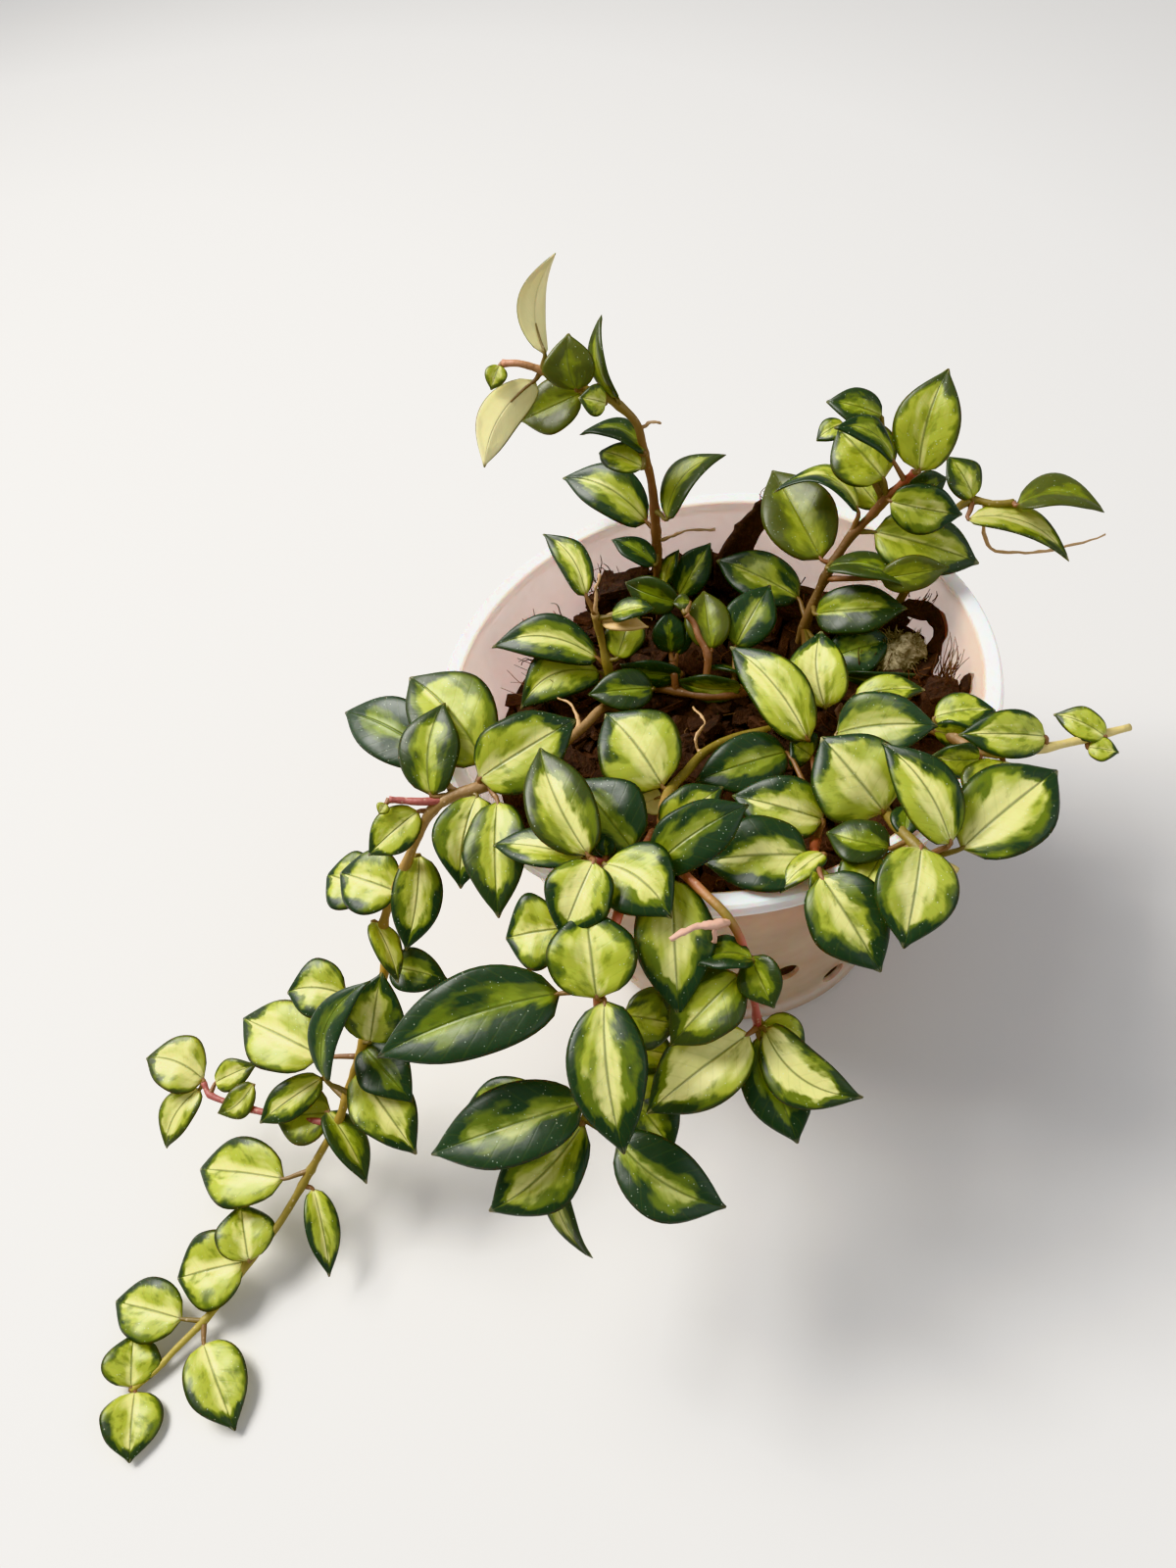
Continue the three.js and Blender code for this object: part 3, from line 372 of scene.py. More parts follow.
            (398, 920, 69), (391, 946, 64), (395, 972, 58), (389, 1005, 52), (376, 1040, 45),
            (367, 1078, 39), (355, 1115, 33), (344, 1147, 28), (329, 1173, 23.5), (317, 1194, 20),
            (303, 1219, 16.5), (281, 1254, 12.6), (252, 1290, 9), (230, 1322, 6.4),
            (208, 1348, 4.4), (180, 1376, 3.2), (158, 1399, 2.6), (134, 1418, 2.2),
        ],
        "bark": [(0, "tan"), (5, "tan"), (12, "gold"), (20, "olive"), (27, "yellow")],
        "leaves": [
            ((6, 447, 776, 352, 727, 0, 1, 14.5, 0), (0.1, 0, -0.4, 0), {"sweep": 0.04}),
            ((6, 440, 812, 454, 717, 1, 8, 13, -10), (0.3, 0, 0.2, 0.1), {"sweep": -0.07}),
            ((5.2, 494, 778, 418, 691, 2, 6, 18.5, 0), (0.7, 0, 0.2, 0.1), {"sweep": 0.05}),
            ((5, 489, 795, 588, 734, 2, 5, 16, 5), (0.7, 0, -0.1, 0.4)),
            ((5.5, 487, 812, 470, 907, 0, -9, 12.5, 0), (0.6, 0, -0.1, 0.5), {"sweep": 0.05}),
            ((4.8, 508, 818, 509, 937, 1, -9, 13, 10), (0.5, 0, 0.1, 0.2)),
            ((7, 427, 828, 376, 873, 0, -4, 9.5, 0), (0.75, 0, 0.1, 0.3)),
            ((9.8, 379, 908, 334, 893, -3, -1, 14, 0), (0.7, 0, 0, 0.4)),
            ((9.8, 407, 911, 347, 891, 1, 0, 15, 0), (0.65, 0, 0, 0.4)),
            ((9, 428, 872, 414, 970, 0, -11, 11, 0), (0.5, 0, 0, 0.4), {"sweep": -0.05}),
            ((11, 380, 940, 406, 1003, 1, -6, 7, -30), (0.7, 0, 0.2, 0.3)),
            ((12.4, 398, 986, 457, 1000, 0, -2, 10, 0), (0.25, 0, -0.1, 0.1)),
            ((13.8, 354, 1016, 293, 1013, 1, 0, 14, 0), (0.6, 0, -0.1, 0.3), {"sweep": 0.08}),
            ((15, 328, 1078, 248, 1039, 0, 0, 17, 0), (0.85, 0, 0.1, 0.5)),
            ((14.6, 378, 1063, 390, 992, 3, 13, 14, 0), (0.6, 0, -0.1, 0.3)),
            ((16, 333, 1103, 378, 1001, 10, 17, 9, -25), (0.1, 0, -0.7, 0), {"sweep": -0.15}),
            ((15.4, 366, 1093, 425, 1178, 0, -6, 14, 0), (0.75, 0, 0, 0.4)),
            ((15, 371, 1068, 421, 1125, 1, -3, 12, 0), (0.05, 0, -0.2, 0)),
            ((16.2, 329, 1100, 265, 1146, 1, -4, 9, 0), (0.6, 0, 0.1, 0.3)),
            ((17, 338, 1136, 281, 1141, -1, -1, 14, 0), (0.6, 0, 0.6, 0)),
            ((17, 333, 1134, 374, 1208, 1, -6, 9.5, -30), (0.3, 0, 0.1, 0.2)),
            ((19, 290, 1203, 204, 1193, 0, -5, 16, 0), (0.8, 0, 0.1, 0.4)),
            ((21.8, 254, 1287, 246, 1228, 2, 2, 13.5, 0), (0.8, 0, 0.1, 0.4)),
            ((22, 250, 1288, 181, 1305, 0, -3, 18, 0), (0.8, 0, 0.1, 0.5)),
            ((19.6, 319, 1213, 336, 1303, -1, -8, 8, -20), (0.65, 0, 0, 0.3)),
            ((24, 186, 1346, 118, 1328, 0.5, -1, 14.5, 0), (0.75, 0, 0.1, 0.4)),
            ((24, 208, 1371, 240, 1460, -0.5, -1.6, 14, 0), (0.8, 0, 0.1, 0.4)),
            ((27, 134, 1416, 137, 1360, 0.6, 1, 13, 0), (0.75, 0, 0.2, 0.3)),
            ((27, 138, 1420, 132, 1493, 0, -0.3, 13.5, 0), (0.75, 0, 0.1, 0.4)),
        ],
        "shoots": [
            {
                "path": [
                    17, (300, 1141, 27), (269, 1135, 26), (240, 1127, 25.5), (214, 1117, 26),
                    (208, 1105, 27),
                ],
                "leaves": [
                    ((5, 208, 1102, 149, 1080, 0, 3, 14, 0), (0.85, 0, 0.4, 0.8), {"sweep": 0.1}),
                    ((5, 204, 1111, 170, 1172, -1, -7, 9.5, 20), (0.7, 0, 0.5, 0.7),
                     {"sweep": 0.08}),
                    ((4, 220, 1105, 262, 1086, 1, 3, 7.5, 0), (0.6, 0, 0.4, 0.5)),
                    ((2.6, 259, 1106, 222, 1136, 3, -3, 7, 0), (0.5, 0, 0.7, 0.3),
                     {"sweep": -0.15}),
                ],
            },
            {
                "path": [6.3, (430, 818, 90.6), (412, 817, 91), (397, 816, 92)],
                "leaves": [
                    ((3, 394, 820, 387, 831, 0, -1, 3, 0), (0.9, 0, 1, 0.6)),
                ],
            },
        ],
        "roots": [
            [5.8, (456, 796, 92), (458, 781, 93), (468, 767, 94)],
            [2.2, (590, 733, 77), (580, 717, 78), (568, 713, 78)],
        ],
    },
}

# %% [markdown]
# ## A working bench for meshes
#
# Each stem with its leaves becomes one mesh, and a leaf needs to tell its finish what it looks
# like. Numbers stored on the points do that: a spare colour layer holds the four looks of the
# leaf, and a second one holds the bark's colour along a stem. The finish reads them back, so one
# leaf material serves every leaf of the plant.

# %% New piece
LEAF_SLOT, BARK_SLOT = 0, 1


def put_down(name, bench):
    """Turns a bmesh into an object of the scene and lets the bmesh go."""
    mesh = bpy.data.meshes.new(name)
    bench.to_mesh(mesh)
    bench.free()
    thing = bpy.data.objects.new(name, mesh)
    bpy.context.collection.objects.link(thing)
    return thing


def new_piece(name, bench, materials, node):
    """Turns a bmesh into a piece that rides with the part and stands for plain nodes."""
    piece = put_down(name, bench)
    for material in materials:
        piece.data.materials.append(material)
    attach(piece, "root")
    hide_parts(*node)
    print(name, "faces:", len(piece.data.polygons))


def plant_bench():
    bench = bmesh.new()
    bench.loops.layers.uv.new("leaf_map")
    bench.verts.layers.float_color.new("looks")
    bench.verts.layers.float_color.new("tint")
    bench.verts.layers.float.new("underside")
    bench.verts.layers.float.new("own_draw")
    return bench


def merge_into(bench, small):
    """Adds a finished small bmesh to a large one; small ones are quick to work on."""
    mesh = bpy.data.meshes.new("passing_through")
    small.to_mesh(mesh)
    small.free()
    bench.from_mesh(mesh)
    bpy.data.meshes.remove(mesh)


# %% [markdown]
# ## Stems and roots
#
# A stem is a tube along a soft curve. Its ring of points is made once, at the start of the curve,
# and then extruded from station to station. The rings must not twist, so each one keeps the last
# one's direction and only leans over as the curve turns. Waxflower stems swell where leaves
# sprout, so the radius changes along the way.

# %% Curves and tubes
BUMP_FINENESS = 450


def smooth_path(points, steps=5):
    """A soft curve through the points, as a list of points and the place of each along the list.

    A Bezier handle reaches a third of the way to the next point, which bends the curve evenly.
    """
    path, places = [], []
    for first in range(len(points) - 1):
        start, end = points[first], points[first + 1]
        before = points[max(first - 1, 0)]
        after = points[min(first + 2, len(points) - 1)]
        reach = (end - start).length / 3
        span = interpolate_bezier(
            start, start + (end - before).normalized() * reach,
            end - (after - start).normalized() * reach, end, steps + 1,
        )
        path += span[:-1]
        places += [first + step / steps for step in range(steps)]
    return path + [points[-1]], places + [len(points) - 1.0]


def add_tube(whole, path, radii, sides, tints, draw, flat=1, spin=0, bumps=0):
    """Extrudes a ring along the path, one radius and one colour to a station.

    A flat below 1 presses the ring to a strip, spin turns the strip, and bumps roughen it.
    """
    bench = plant_bench()
    tint_layer = bench.verts.layers.float_color["tint"]
    draw_layer = bench.verts.layers.float["own_draw"]
    ahead = (path[1] - path[0]).normalized()
    turn = UP.rotation_difference(ahead)
    ring = bmesh.ops.create_circle(bench, segments=sides, radius=radii[0])["verts"]
    pressed = Matrix.LocRotScale(path[0], turn @ Quaternion(UP, spin), Vector((1, flat, 1)))
    bmesh.ops.transform(bench, matrix=pressed, verts=ring)
    walls = list(bmesh.ops.contextual_create(bench, geom=ring)["faces"])
    edges = each_once(edge for vert in ring for edge in vert.link_edges)
    for vert in ring:
        vert[tint_layer] = (*tints[0], 1)
        vert[draw_layer] = draw
    for station in range(1, len(path)):
        grown = bmesh.ops.extrude_edge_only(bench, edges=edges)["geom"]
        ring = [item for item in grown if isinstance(item, bmesh.types.BMVert)]
        edges = [
            item for item in grown
            if isinstance(item, bmesh.types.BMEdge) and all(vert in ring for vert in item.verts)
        ]
        walls += [item for item in grown if isinstance(item, bmesh.types.BMFace)]
        later = path[min(station + 1, len(path) - 1)]
        heading = (later - path[station - 1]).normalized()
        lean = ahead.rotation_difference(heading)
        ahead = heading
        scale = radii[station] / radii[station - 1]
        for vert in ring:
            vert.co = path[station] + lean @ ((vert.co - path[station - 1]) * scale)
            vert[tint_layer] = (*tints[station], 1)
            vert[draw_layer] = draw
    walls += bmesh.ops.contextual_create(bench, geom=ring)["faces"]
    for face in walls:
        face.smooth = True
        face.material_index = BARK_SLOT
    for vert in bench.verts:
        vert.co += noise_vector(vert.co * BUMP_FINENESS) * bumps
    bmesh.ops.recalc_face_normals(bench, faces=walls)
    merge_into(whole, bench)


# %% [markdown]
# ## A leaf
#
# The blade starts as a flat grid, doubled into an upper and a lower skin. Moving the points gives
# it its outline, widest before its middle and drawn out to a point, a shallow V at the midrib,
# halves that swell and turn down towards the edge, and an arch along its length. The skins are
# closest at the rim and meet there, so the blade is one closed body, about a millimetre thick.
# The rules are the same as the solid model's, so a fine leaf covers its coarse twin. On top of
# them, each half has a slow wave of its own, drawn by chance, and shallow quilting along it.

# %% Leaf sizes
BLADE_ACROSS = 12
BLADE_ALONG = 18
BLADE_THICKNESS = 0.95 * MM
LEAF_ARCH = 0.09
LEAF_FOLD = 12
FOLDED_SHARE = math.cos(math.radians(LEAF_FOLD))
TIP_HALF_WIDTH = 0.2 * MM
WIDEST_PLACE = 0.42
TIP_FULLNESS = 2.2
TIP_POINT = 1.2
FACING_UP = 0.4
MERGE_DISTANCE = 1e-6


def spread(across):
    """Moves the grid's lines towards the rim, where the blade's edge is round."""
    return (across + math.sin(across * math.pi / 2)) / 2


def half_width(along, width):
    """Round at the base, widest before the middle, and drawn out to the tip."""
    if along < WIDEST_PLACE:
        share = math.sqrt(max(0, 1 - (1 - along / WIDEST_PLACE) ** 2))
    else:
        towards_tip = (along - WIDEST_PLACE) / (1 - WIDEST_PLACE)
        share = (1 - towards_tip ** TIP_FULLNESS) ** TIP_POINT
    return max(width / 2 * share, TIP_HALF_WIDTH)


def hump(along):
    """Nothing at both ends of the blade, and one in its middle."""
    return 4 * along * (1 - along)


def leaf_frame(base, tip, roll):
    """Directions along, across and out of a blade that faces the view before it is rolled."""
    ahead = (tip - base).normalized()
    to_eye = (EYE - base).normalized() + UP * FACING_UP
    side = Quaternion(ahead, math.radians(roll)) @ ahead.cross(to_eye).normalized()
    return ahead, side, side.cross(ahead)


# %% Waves and stalks
WAVE_STARTS = (0, 6.28)
WAVE_PACES = (4, 8)
WIDTH_WAVE = 0.06
WIDTH_PACE = 1.5
RIPPLE = 0.08
QUILT = 0.1
QUILT_PACE = 15
FOLD_RISE = 1.5
EDGE_DROOP = 0.8
DROOP_POWER = 2.5
RIM_ROUNDING = 4
BASE_ROUNDING = 0.05
TIP_ROUNDING = 0.04
UNDERSIDE_FADE = 6
DRAW_SCALE = 1000
STALK_RADIUS = 0.74 * MM
STALK_TAPER = 0.75
STALK_SIDES = 6
STALK_REACHES = (0.12, 0.3)
STALK_DEPTH = 0.45 * BLADE_THICKNESS
MOST_MAUVE = 0.5


def add_stalk(whole, root, base, under_blade, tint, draw):
    """A thin stalk from the stem to the blade, and on beneath it as the start of the midrib."""
    path, _ = smooth_path([root, root.lerp(base, 0.5), base, *under_blade], 3)
    last = len(path) - 1
    radii = [STALK_RADIUS * (1 - STALK_TAPER * station / last) for station in range(len(path))]
    add_tube(whole, path, radii, STALK_SIDES, [tint] * len(path), draw)


# %% One leaf
def add_leaf(
    whole, root, base, tip, width, roll, looks, number,
    arch=LEAF_ARCH, fold=LEAF_FOLD, sweep=0, dry=None
):
    """Adds a leaf with its stalk. Lengths are in metres; looks are the four numbers of its finish.

    The leaf's number seeds its draws. A dry leaf takes the bark's finish, in the bark colour of
    that name.
    """
    chance = random.Random(number)
    draw = number / DRAW_SCALE
    ahead, side, face = leaf_frame(base, tip, roll)
    length = (tip - base).length
    lift = math.sin(math.radians(fold))
    waves = [
        (chance.uniform(-1, 1), chance.uniform(*WAVE_STARTS), chance.uniform(*WAVE_PACES))
        for _ in range(2)
    ]
    bench = plant_bench()
    uv_layer = bench.loops.layers.uv["leaf_map"]
    looks_layer = bench.verts.layers.float_color["looks"]
    under_layer = bench.verts.layers.float["underside"]
    draw_layer = bench.verts.layers.float["own_draw"]
    tint_layer = bench.verts.layers.float_color["tint"]

    upper = bmesh.ops.create_grid(
        bench, x_segments=BLADE_ACROSS, y_segments=BLADE_ALONG, size=1, calc_uvs=True
    )["verts"]
    upper_faces = each_once(item for vert in upper for item in vert.link_faces)
    copied = bmesh.ops.duplicate(bench, geom=upper_faces + upper)["geom"]
    lower = [item for item in copied if isinstance(item, bmesh.types.BMVert)]
    lower_faces = [item for item in copied if isinstance(item, bmesh.types.BMFace)]
    bmesh.ops.reverse_faces(bench, faces=lower_faces)

    for skin, way in ((upper, 1), (lower, -1)):
        for vert in skin:
            across = spread(vert.co.x)
            out = abs(across)
            inside = min(1, (1 - abs(vert.co.x)) * UNDERSIDE_FADE)
            along = (vert.co.y + 1) / 2
            swing, phase, pace = waves[0 if across > 0 else 1]
            width_wave = WIDTH_WAVE * swing * math.sin(along * pace * WIDTH_PACE + phase)
            half = half_width(along, width) * (1 + width_wave)
            rise = lift * (FOLD_RISE * out - EDGE_DROOP * out ** DROOP_POWER)
            ripple = RIPPLE * swing * math.sin(along * pace + phase) * out * out
            ripple += QUILT * math.sin(along * QUILT_PACE + phase) * out * (1 - out)
            ends = min(1, along / BASE_ROUNDING, (1 - along) / TIP_ROUNDING)
            rounded = math.sqrt(max(0, 1 - across ** RIM_ROUNDING)) * max(0, ends)
            to_side = across * half * FOLDED_SHARE + sweep * length * hump(along)
            outwards = (rise + ripple) * half + arch * length * hump(along)
            outwards += way * BLADE_THICKNESS / 2 * rounded
            vert.co = base + ahead * along * length + side * to_side + face * outwards
            vert[looks_layer] = looks
            vert[under_layer] = inside if way < 0 else 0.0
            vert[draw_layer] = draw
            if dry:
                vert[tint_layer] = (*TINTS[dry], 1)
    for item in upper_faces + lower_faces:
        item.smooth = True
        item.material_index = BARK_SLOT if dry else LEAF_SLOT
        for corner in item.loops:
            map_place = corner[uv_layer].uv
            map_place.x = 0.5 + 0.5 * spread(2 * map_place.x - 1)
    bmesh.ops.remove_doubles(bench, verts=upper + lower, dist=MERGE_DISTANCE)
    merge_into(whole, bench)

    under_blade = [
        base + ahead * along * length + side * sweep * length * hump(along)
        + face * (arch * length * hump(along) - STALK_DEPTH)
        for along in STALK_REACHES
    ]
    tint = Vector(TINTS["stalk"]).lerp(Vector(TINTS["mauve"]), chance.uniform(0, MOST_MAUVE))
    add_stalk(whole, root, base, under_blade, tuple(tint), draw)


# %% [markdown]
# ## Whole stems
#
# The bark runs from brown at the root through olive or russet to pink or cream where growth is
# young. A few named colours and the places where they fall are enough: between two of them the
# colour slides from one to the next.

# %% Bark colours
TINTS = {
    "brown": (0.15, 0.095, 0.045),
    "tan": (0.32, 0.21, 0.11),
    "russet": (0.26, 0.13, 0.07),
    "red": (0.3, 0.075, 0.045),
    "pink": (0.52, 0.17, 0.13),
    "mauve": (0.34, 0.11, 0.1),
    "rose": (0.5, 0.24, 0.17),
    "olive": (0.24, 0.19, 0.045),
    "gold": (0.36, 0.23, 0.05),
    "yellow": (0.42, 0.36, 0.08),
    "cream": (0.62, 0.52, 0.22),
    "stalk": (0.17, 0.14, 0.04),
    "root": (0.5, 0.34, 0.19),
    "blush": (0.66, 0.42, 0.34),
    "dried": (0.62, 0.45, 0.22),
}


def tint_at(bark, place):
    """The bark's colour at a place along the stem."""
    for (start, first), (end, second) in zip(bark, bark[1:]):
        if place <= end:
            share = (place - start) / (end - start)
            return tuple(Vector(TINTS[first]).lerp(Vector(TINTS[second]), max(0, share)))
    return TINTS[bark[-1][1]]


# %% Build one stem with all that grows on it
STEM_RADIUS = 1.02 * MM
SHOOT_RADIUS = 0.85 * MM
STEM_SIDES = 10
STEM_TAPER = 0.3
STEM_WOBBLE = 0.05
NODE_SWELL = 0.3
NODE_LENGTH = 0.22
NO_NODE = 9
LEAVES_TO_A_SEED = 40


def between(points, place):
    """A point part of the way along a list of stem points."""
    first = min(int(place), len(points) - 2)
    return points[first].lerp(points[first + 1], place - first)


def stem_radii(places, joints, radius, chance):
    """Radius along a stem: uneven, thinner to its end, and swollen where leaves sprout."""
    radii = []
    for place in places:
        near = min((abs(place - joint) for joint in joints), default=NO_NODE)
        swell = NODE_SWELL * math.exp(-((near / NODE_LENGTH) ** 2))
        swell += chance.uniform(-STEM_WOBBLE, STEM_WOBBLE)
        radii.append(radius * (1 + swell) * (1 - STEM_TAPER * (place / places[-1]) ** 2))
    return radii


def grow(bench, points, leaves, radius, bark, seed, joints=()):
    path, places = smooth_path(points)
    sprouts = [leaf[0][0] for leaf in leaves] + list(joints)
    radii = stem_radii(places, sprouts, radius, random.Random(seed))
    tints = [tint_at(bark, place) for place in places]
    add_tube(bench, path, radii, STEM_SIDES, tints, seed / DRAW_SCALE)
    for number, (place, looks, *bends) in enumerate(leaves, seed * LEAVES_TO_A_SEED):
        from_point, base_across, base_down, tip_across, tip_down, lift, rise, width, roll = place
        root = between(points, from_point)
        base_height = root.z / MM + lift
        base = sight(base_across, base_down, base_height)
        tip = sight(tip_across, tip_down, base_height + rise)
        bend = bends[0] if bends else {}
        add_leaf(bench, root, base, tip, width * MM, roll, looks, number, **bend)


# %% Aerial roots
ROOT_RADIUS = 0.5 * MM
ROOT_SIDES = 8
ROOT_START = 1.1
ROOT_TAPER = 0.6
ROOT_WOBBLE = 0.16
ROOT_BUMPS = 0.5 * MM


def add_root(bench, points, seed, size=1, tint="root"):
    """A thin aerial root, knobbly and drawn out to a tip."""
    path, places = smooth_path(points, 6)
    chance = random.Random(seed)
    radii = []
    for place in places:
        share = ROOT_START - ROOT_TAPER * place / places[-1]
        share += chance.uniform(-ROOT_WOBBLE, ROOT_WOBBLE)
        radii.append(size * ROOT_RADIUS * share)
    tints = [TINTS[tint]] * len(path)
    add_tube(bench, path, radii, ROOT_SIDES, tints, seed / DRAW_SCALE, bumps=ROOT_BUMPS)


# %% [markdown]
# ## The leaf's finish
#
# A waxflower leaf has three greens and a cream, and they meet in ragged flames that follow the
# side veins. In the material, a point's distance from the midrib is compared with how far the pale
# part reaches there. Noise stretched along the veins makes that reach ragged. Beyond the pale
# heart lies a band of fresh green, and beyond that the dark margin, with fine light flecks.
# The pattern lives in a node group with named sockets, so that its values can be tuned from
# outside, and it is built from short links made by a few helpers.

# %% Node helpers
MIX_FIRST, MIX_SECOND, MIX_COLOUR = 6, 7, 2


def add_node(tree, kind, inputs=(), **settings):
    """Adds a node, sets its properties, and sets or links its inputs by name or position."""
    node = tree.nodes.new(kind)
    for name, value in settings.items():
        setattr(node, name, value)
    for socket, value in dict(inputs).items():
        target = node.inputs[socket]
        if isinstance(value, bpy.types.NodeSocket):
            tree.links.new(value, target)
        else:
            target.default_value = value
    return node


def object_place(tree):
    """Where a point lies on its piece: the same numbers as in the frame, in metres."""
    return add_node(tree, "ShaderNodeTexCoord").outputs["Object"]


def stored(tree, layer):
    """A node that reads what is stored on the points under that name."""
    return add_node(tree, "ShaderNodeAttribute", attribute_name=layer)


def maths(tree, operation, first, second=0.0, third=0.0, clamp=False):
    node = add_node(tree, "ShaderNodeMath", {0: first, 1: second, 2: third}, operation=operation)
    node.use_clamp = clamp
    return node.outputs[0]


def line(tree, value, slope, start, clamp=False):
    """Start where the value is 0, and slope more for each 1 of it."""
    return maths(tree, "MULTIPLY_ADD", value, slope, start, clamp)


def swung(tree, value, strength, about, middle=0.5):
    """A noise, which lies about its middle, made to swing about another value."""
    return maths(tree, "MULTIPLY_ADD", maths(tree, "SUBTRACT", value, middle), strength, about)


def times(tree, first, second):
    return maths(tree, "MULTIPLY", first, second)


def step_mask(tree, value, edge, blur):
    """1 where value is below edge, 0 above, with a soft border that is blur wide."""
    gap = maths(tree, "SUBTRACT", edge, value)
    return maths(tree, "MULTIPLY_ADD", gap, 1 / blur, 0.5, clamp=True)


def above_mask(tree, value, edge, blur):
    """0 where value is below edge, and 1 above."""
    return maths(tree, "SUBTRACT", 1.0, step_mask(tree, value, edge, blur))


def blend_colour(tree, mask, first, second, mode="MIX"):
    """Blends two colours; the first shows where the mask is 0."""
    sockets = {0: mask, MIX_FIRST: first, MIX_SECOND: second}
    node = add_node(tree, "ShaderNodeMix", sockets, data_type="RGBA")
    node.blend_type = mode
    return node.outputs[MIX_COLOUR]


def noise(tree, vector, scale=1.0, detail=2.0, rough=0.5):
    node = add_node(
        tree, "ShaderNodeTexNoise",
        {"Vector": vector, "Scale": scale, "Detail": detail, "Roughness": rough},
    )
    return node.outputs[0]


def new_group(name, inputs, outputs):
    """An empty shader node group with named sockets; returns the tree and its two ends."""
    tree = bpy.data.node_groups.new(name, "ShaderNodeTree")
    for label, kind, default in inputs:
        socket = tree.interface.new_socket(label, in_out="INPUT", socket_type=kind)
        socket.default_value = default
    for label, kind in outputs:
        tree.interface.new_socket(label, in_out="OUTPUT", socket_type=kind)
    return tree, tree.nodes.new("NodeGroupInput"), tree.nodes.new("NodeGroupOutput")


# %% Flecks, for leaves and bark alike
FLECK_BLUR = 0.08
FLECK_RARITY = 0.75
fleck_tree, fleck_in, fleck_out = new_group(
    "fine_flecks",
    [("Place", "NodeSocketVector", (0, 0, 0)), ("Scale", "NodeSocketFloat", 900.0),
     ("Size", "NodeSocketFloat", 0.16)],
    [("Mask", "NodeSocketFloat")],
)
cells = add_node(
    fleck_tree, "ShaderNodeTexVoronoi",
    {"Vector": fleck_in.outputs["Place"], "Scale": fleck_in.outputs["Scale"]},
)
cell_draw = add_node(fleck_tree, "ShaderNodeSeparateColor", {0: cells.outputs["Color"]}).outputs[0]
fleck_reach = times(fleck_tree, fleck_in.outputs["Size"], cell_draw)
fleck_mask = step_mask(fleck_tree, cells.outputs["Distance"], fleck_reach, FLECK_BLUR)
rare = maths(fleck_tree, "GREATER_THAN", cell_draw, FLECK_RARITY)
fleck_tree.links.new(times(fleck_tree, fleck_mask, rare), fleck_out.inputs["Mask"])
print("sockets of the fleck group:", [socket.name for socket in fleck_tree.interface.items_tree])


def flecks(tree, place, scale, size):
    """The fleck group placed in a tree, with its own values."""
    values = {"Place": place, "Scale": scale, "Size": size}
    return add_node(tree, "ShaderNodeGroup", values, node_tree=fleck_tree).outputs["Mask"]


# %% Variegation, part one: where the flames reach
VEIN_SLANT = -0.22
HALF_APART = 3.7
leaf_tree, leaf_in, leaf_out = new_group(
    "variegation",
    [("Dark", "NodeSocketColor", (0.017, 0.036, 0.012, 1)),
     ("Fresh", "NodeSocketColor", (0.115, 0.155, 0.006, 1)),
     ("Lime", "NodeSocketColor", (0.37, 0.405, 0.05, 1)),
     ("Cream", "NodeSocketColor", (0.72, 0.69, 0.27, 1))],
    [("Color", "NodeSocketColor"), ("Height", "NodeSocketFloat")],
)
dark, fresh, lime, cream = (
    leaf_in.outputs[name] for name in ("Dark", "Fresh", "Lime", "Cream")
)
leaf_maths, leaf_line, leaf_swung, leaf_times, leaf_step, leaf_blend, leaf_noise = (
    partial(helper, leaf_tree)
    for helper in (maths, line, swung, times, step_mask, blend_colour, noise)
)
leaf_uv = add_node(leaf_tree, "ShaderNodeUVMap", uv_map="leaf_map")
leaf_xy = add_node(leaf_tree, "ShaderNodeSeparateXYZ", {0: leaf_uv.outputs[0]})
looks_node = stored(leaf_tree, "looks")
looks_rgb = add_node(leaf_tree, "ShaderNodeSeparateColor", {0: looks_node.outputs["Color"]})
pale, lean, tone = looks_rgb.outputs
creaminess = looks_node.outputs["Alpha"]
own_draw = stored(leaf_tree, "own_draw").outputs["Fac"]

signed_across = leaf_line(leaf_xy.outputs[0], 2.0, -1.0)
along = leaf_xy.outputs[1]
from_rib = leaf_maths("ABSOLUTE", signed_across)
which_half = leaf_maths("SIGN", signed_across)
vein_line = leaf_line(from_rib, VEIN_SLANT, along)


def along_the_veins(along_scale, across_scale, seed_scale):
    """A place for noise to be read at: stretched along the side veins, new for each half leaf."""
    return add_node(leaf_tree, "ShaderNodeCombineXYZ", {
        0: leaf_times(vein_line, along_scale),
        1: leaf_times(from_rib, across_scale),
        2: leaf_line(own_draw, seed_scale, leaf_times(which_half, HALF_APART)),
    }).outputs[0]


flame = leaf_noise(along_the_veins(along_scale=3.0, across_scale=1.4, seed_scale=97.0))
ragged_place = along_the_veins(along_scale=8.0, across_scale=2.8, seed_scale=61.0)
lick = leaf_noise(ragged_place, detail=3.0, rough=0.6)
wash = leaf_noise(along_the_veins(along_scale=2.6, across_scale=2.4, seed_scale=43.0))
on_leaf = object_place(leaf_tree)
blotch = leaf_noise(on_leaf, scale=170.0)
mottle = leaf_noise(on_leaf, scale=420.0, detail=3.0, rough=0.6)

# %% Variegation, part two: the pale heart
LEAN_SHIFT = -0.6
TAPER_POWER = 2.2
TAPER = {"slope": -0.75, "start": 1.15}
BLOTCH_SWING = 0.8
BLOTCH_MIDDLE = -0.04
LICK_SWING = 0.5
TIP_START = 0.7
TIP_FADE = -2.8
FLAME_SWING = {"slope": 0.65, "start": 0.6}
HEART_BLUR = 0.17
BAND_SWING = 1.3
BAND_MIDDLE = 0.45
BAND_WIDTH = 0.16
BAND_LEAST = 0.04
BAND_BLUR = 0.24

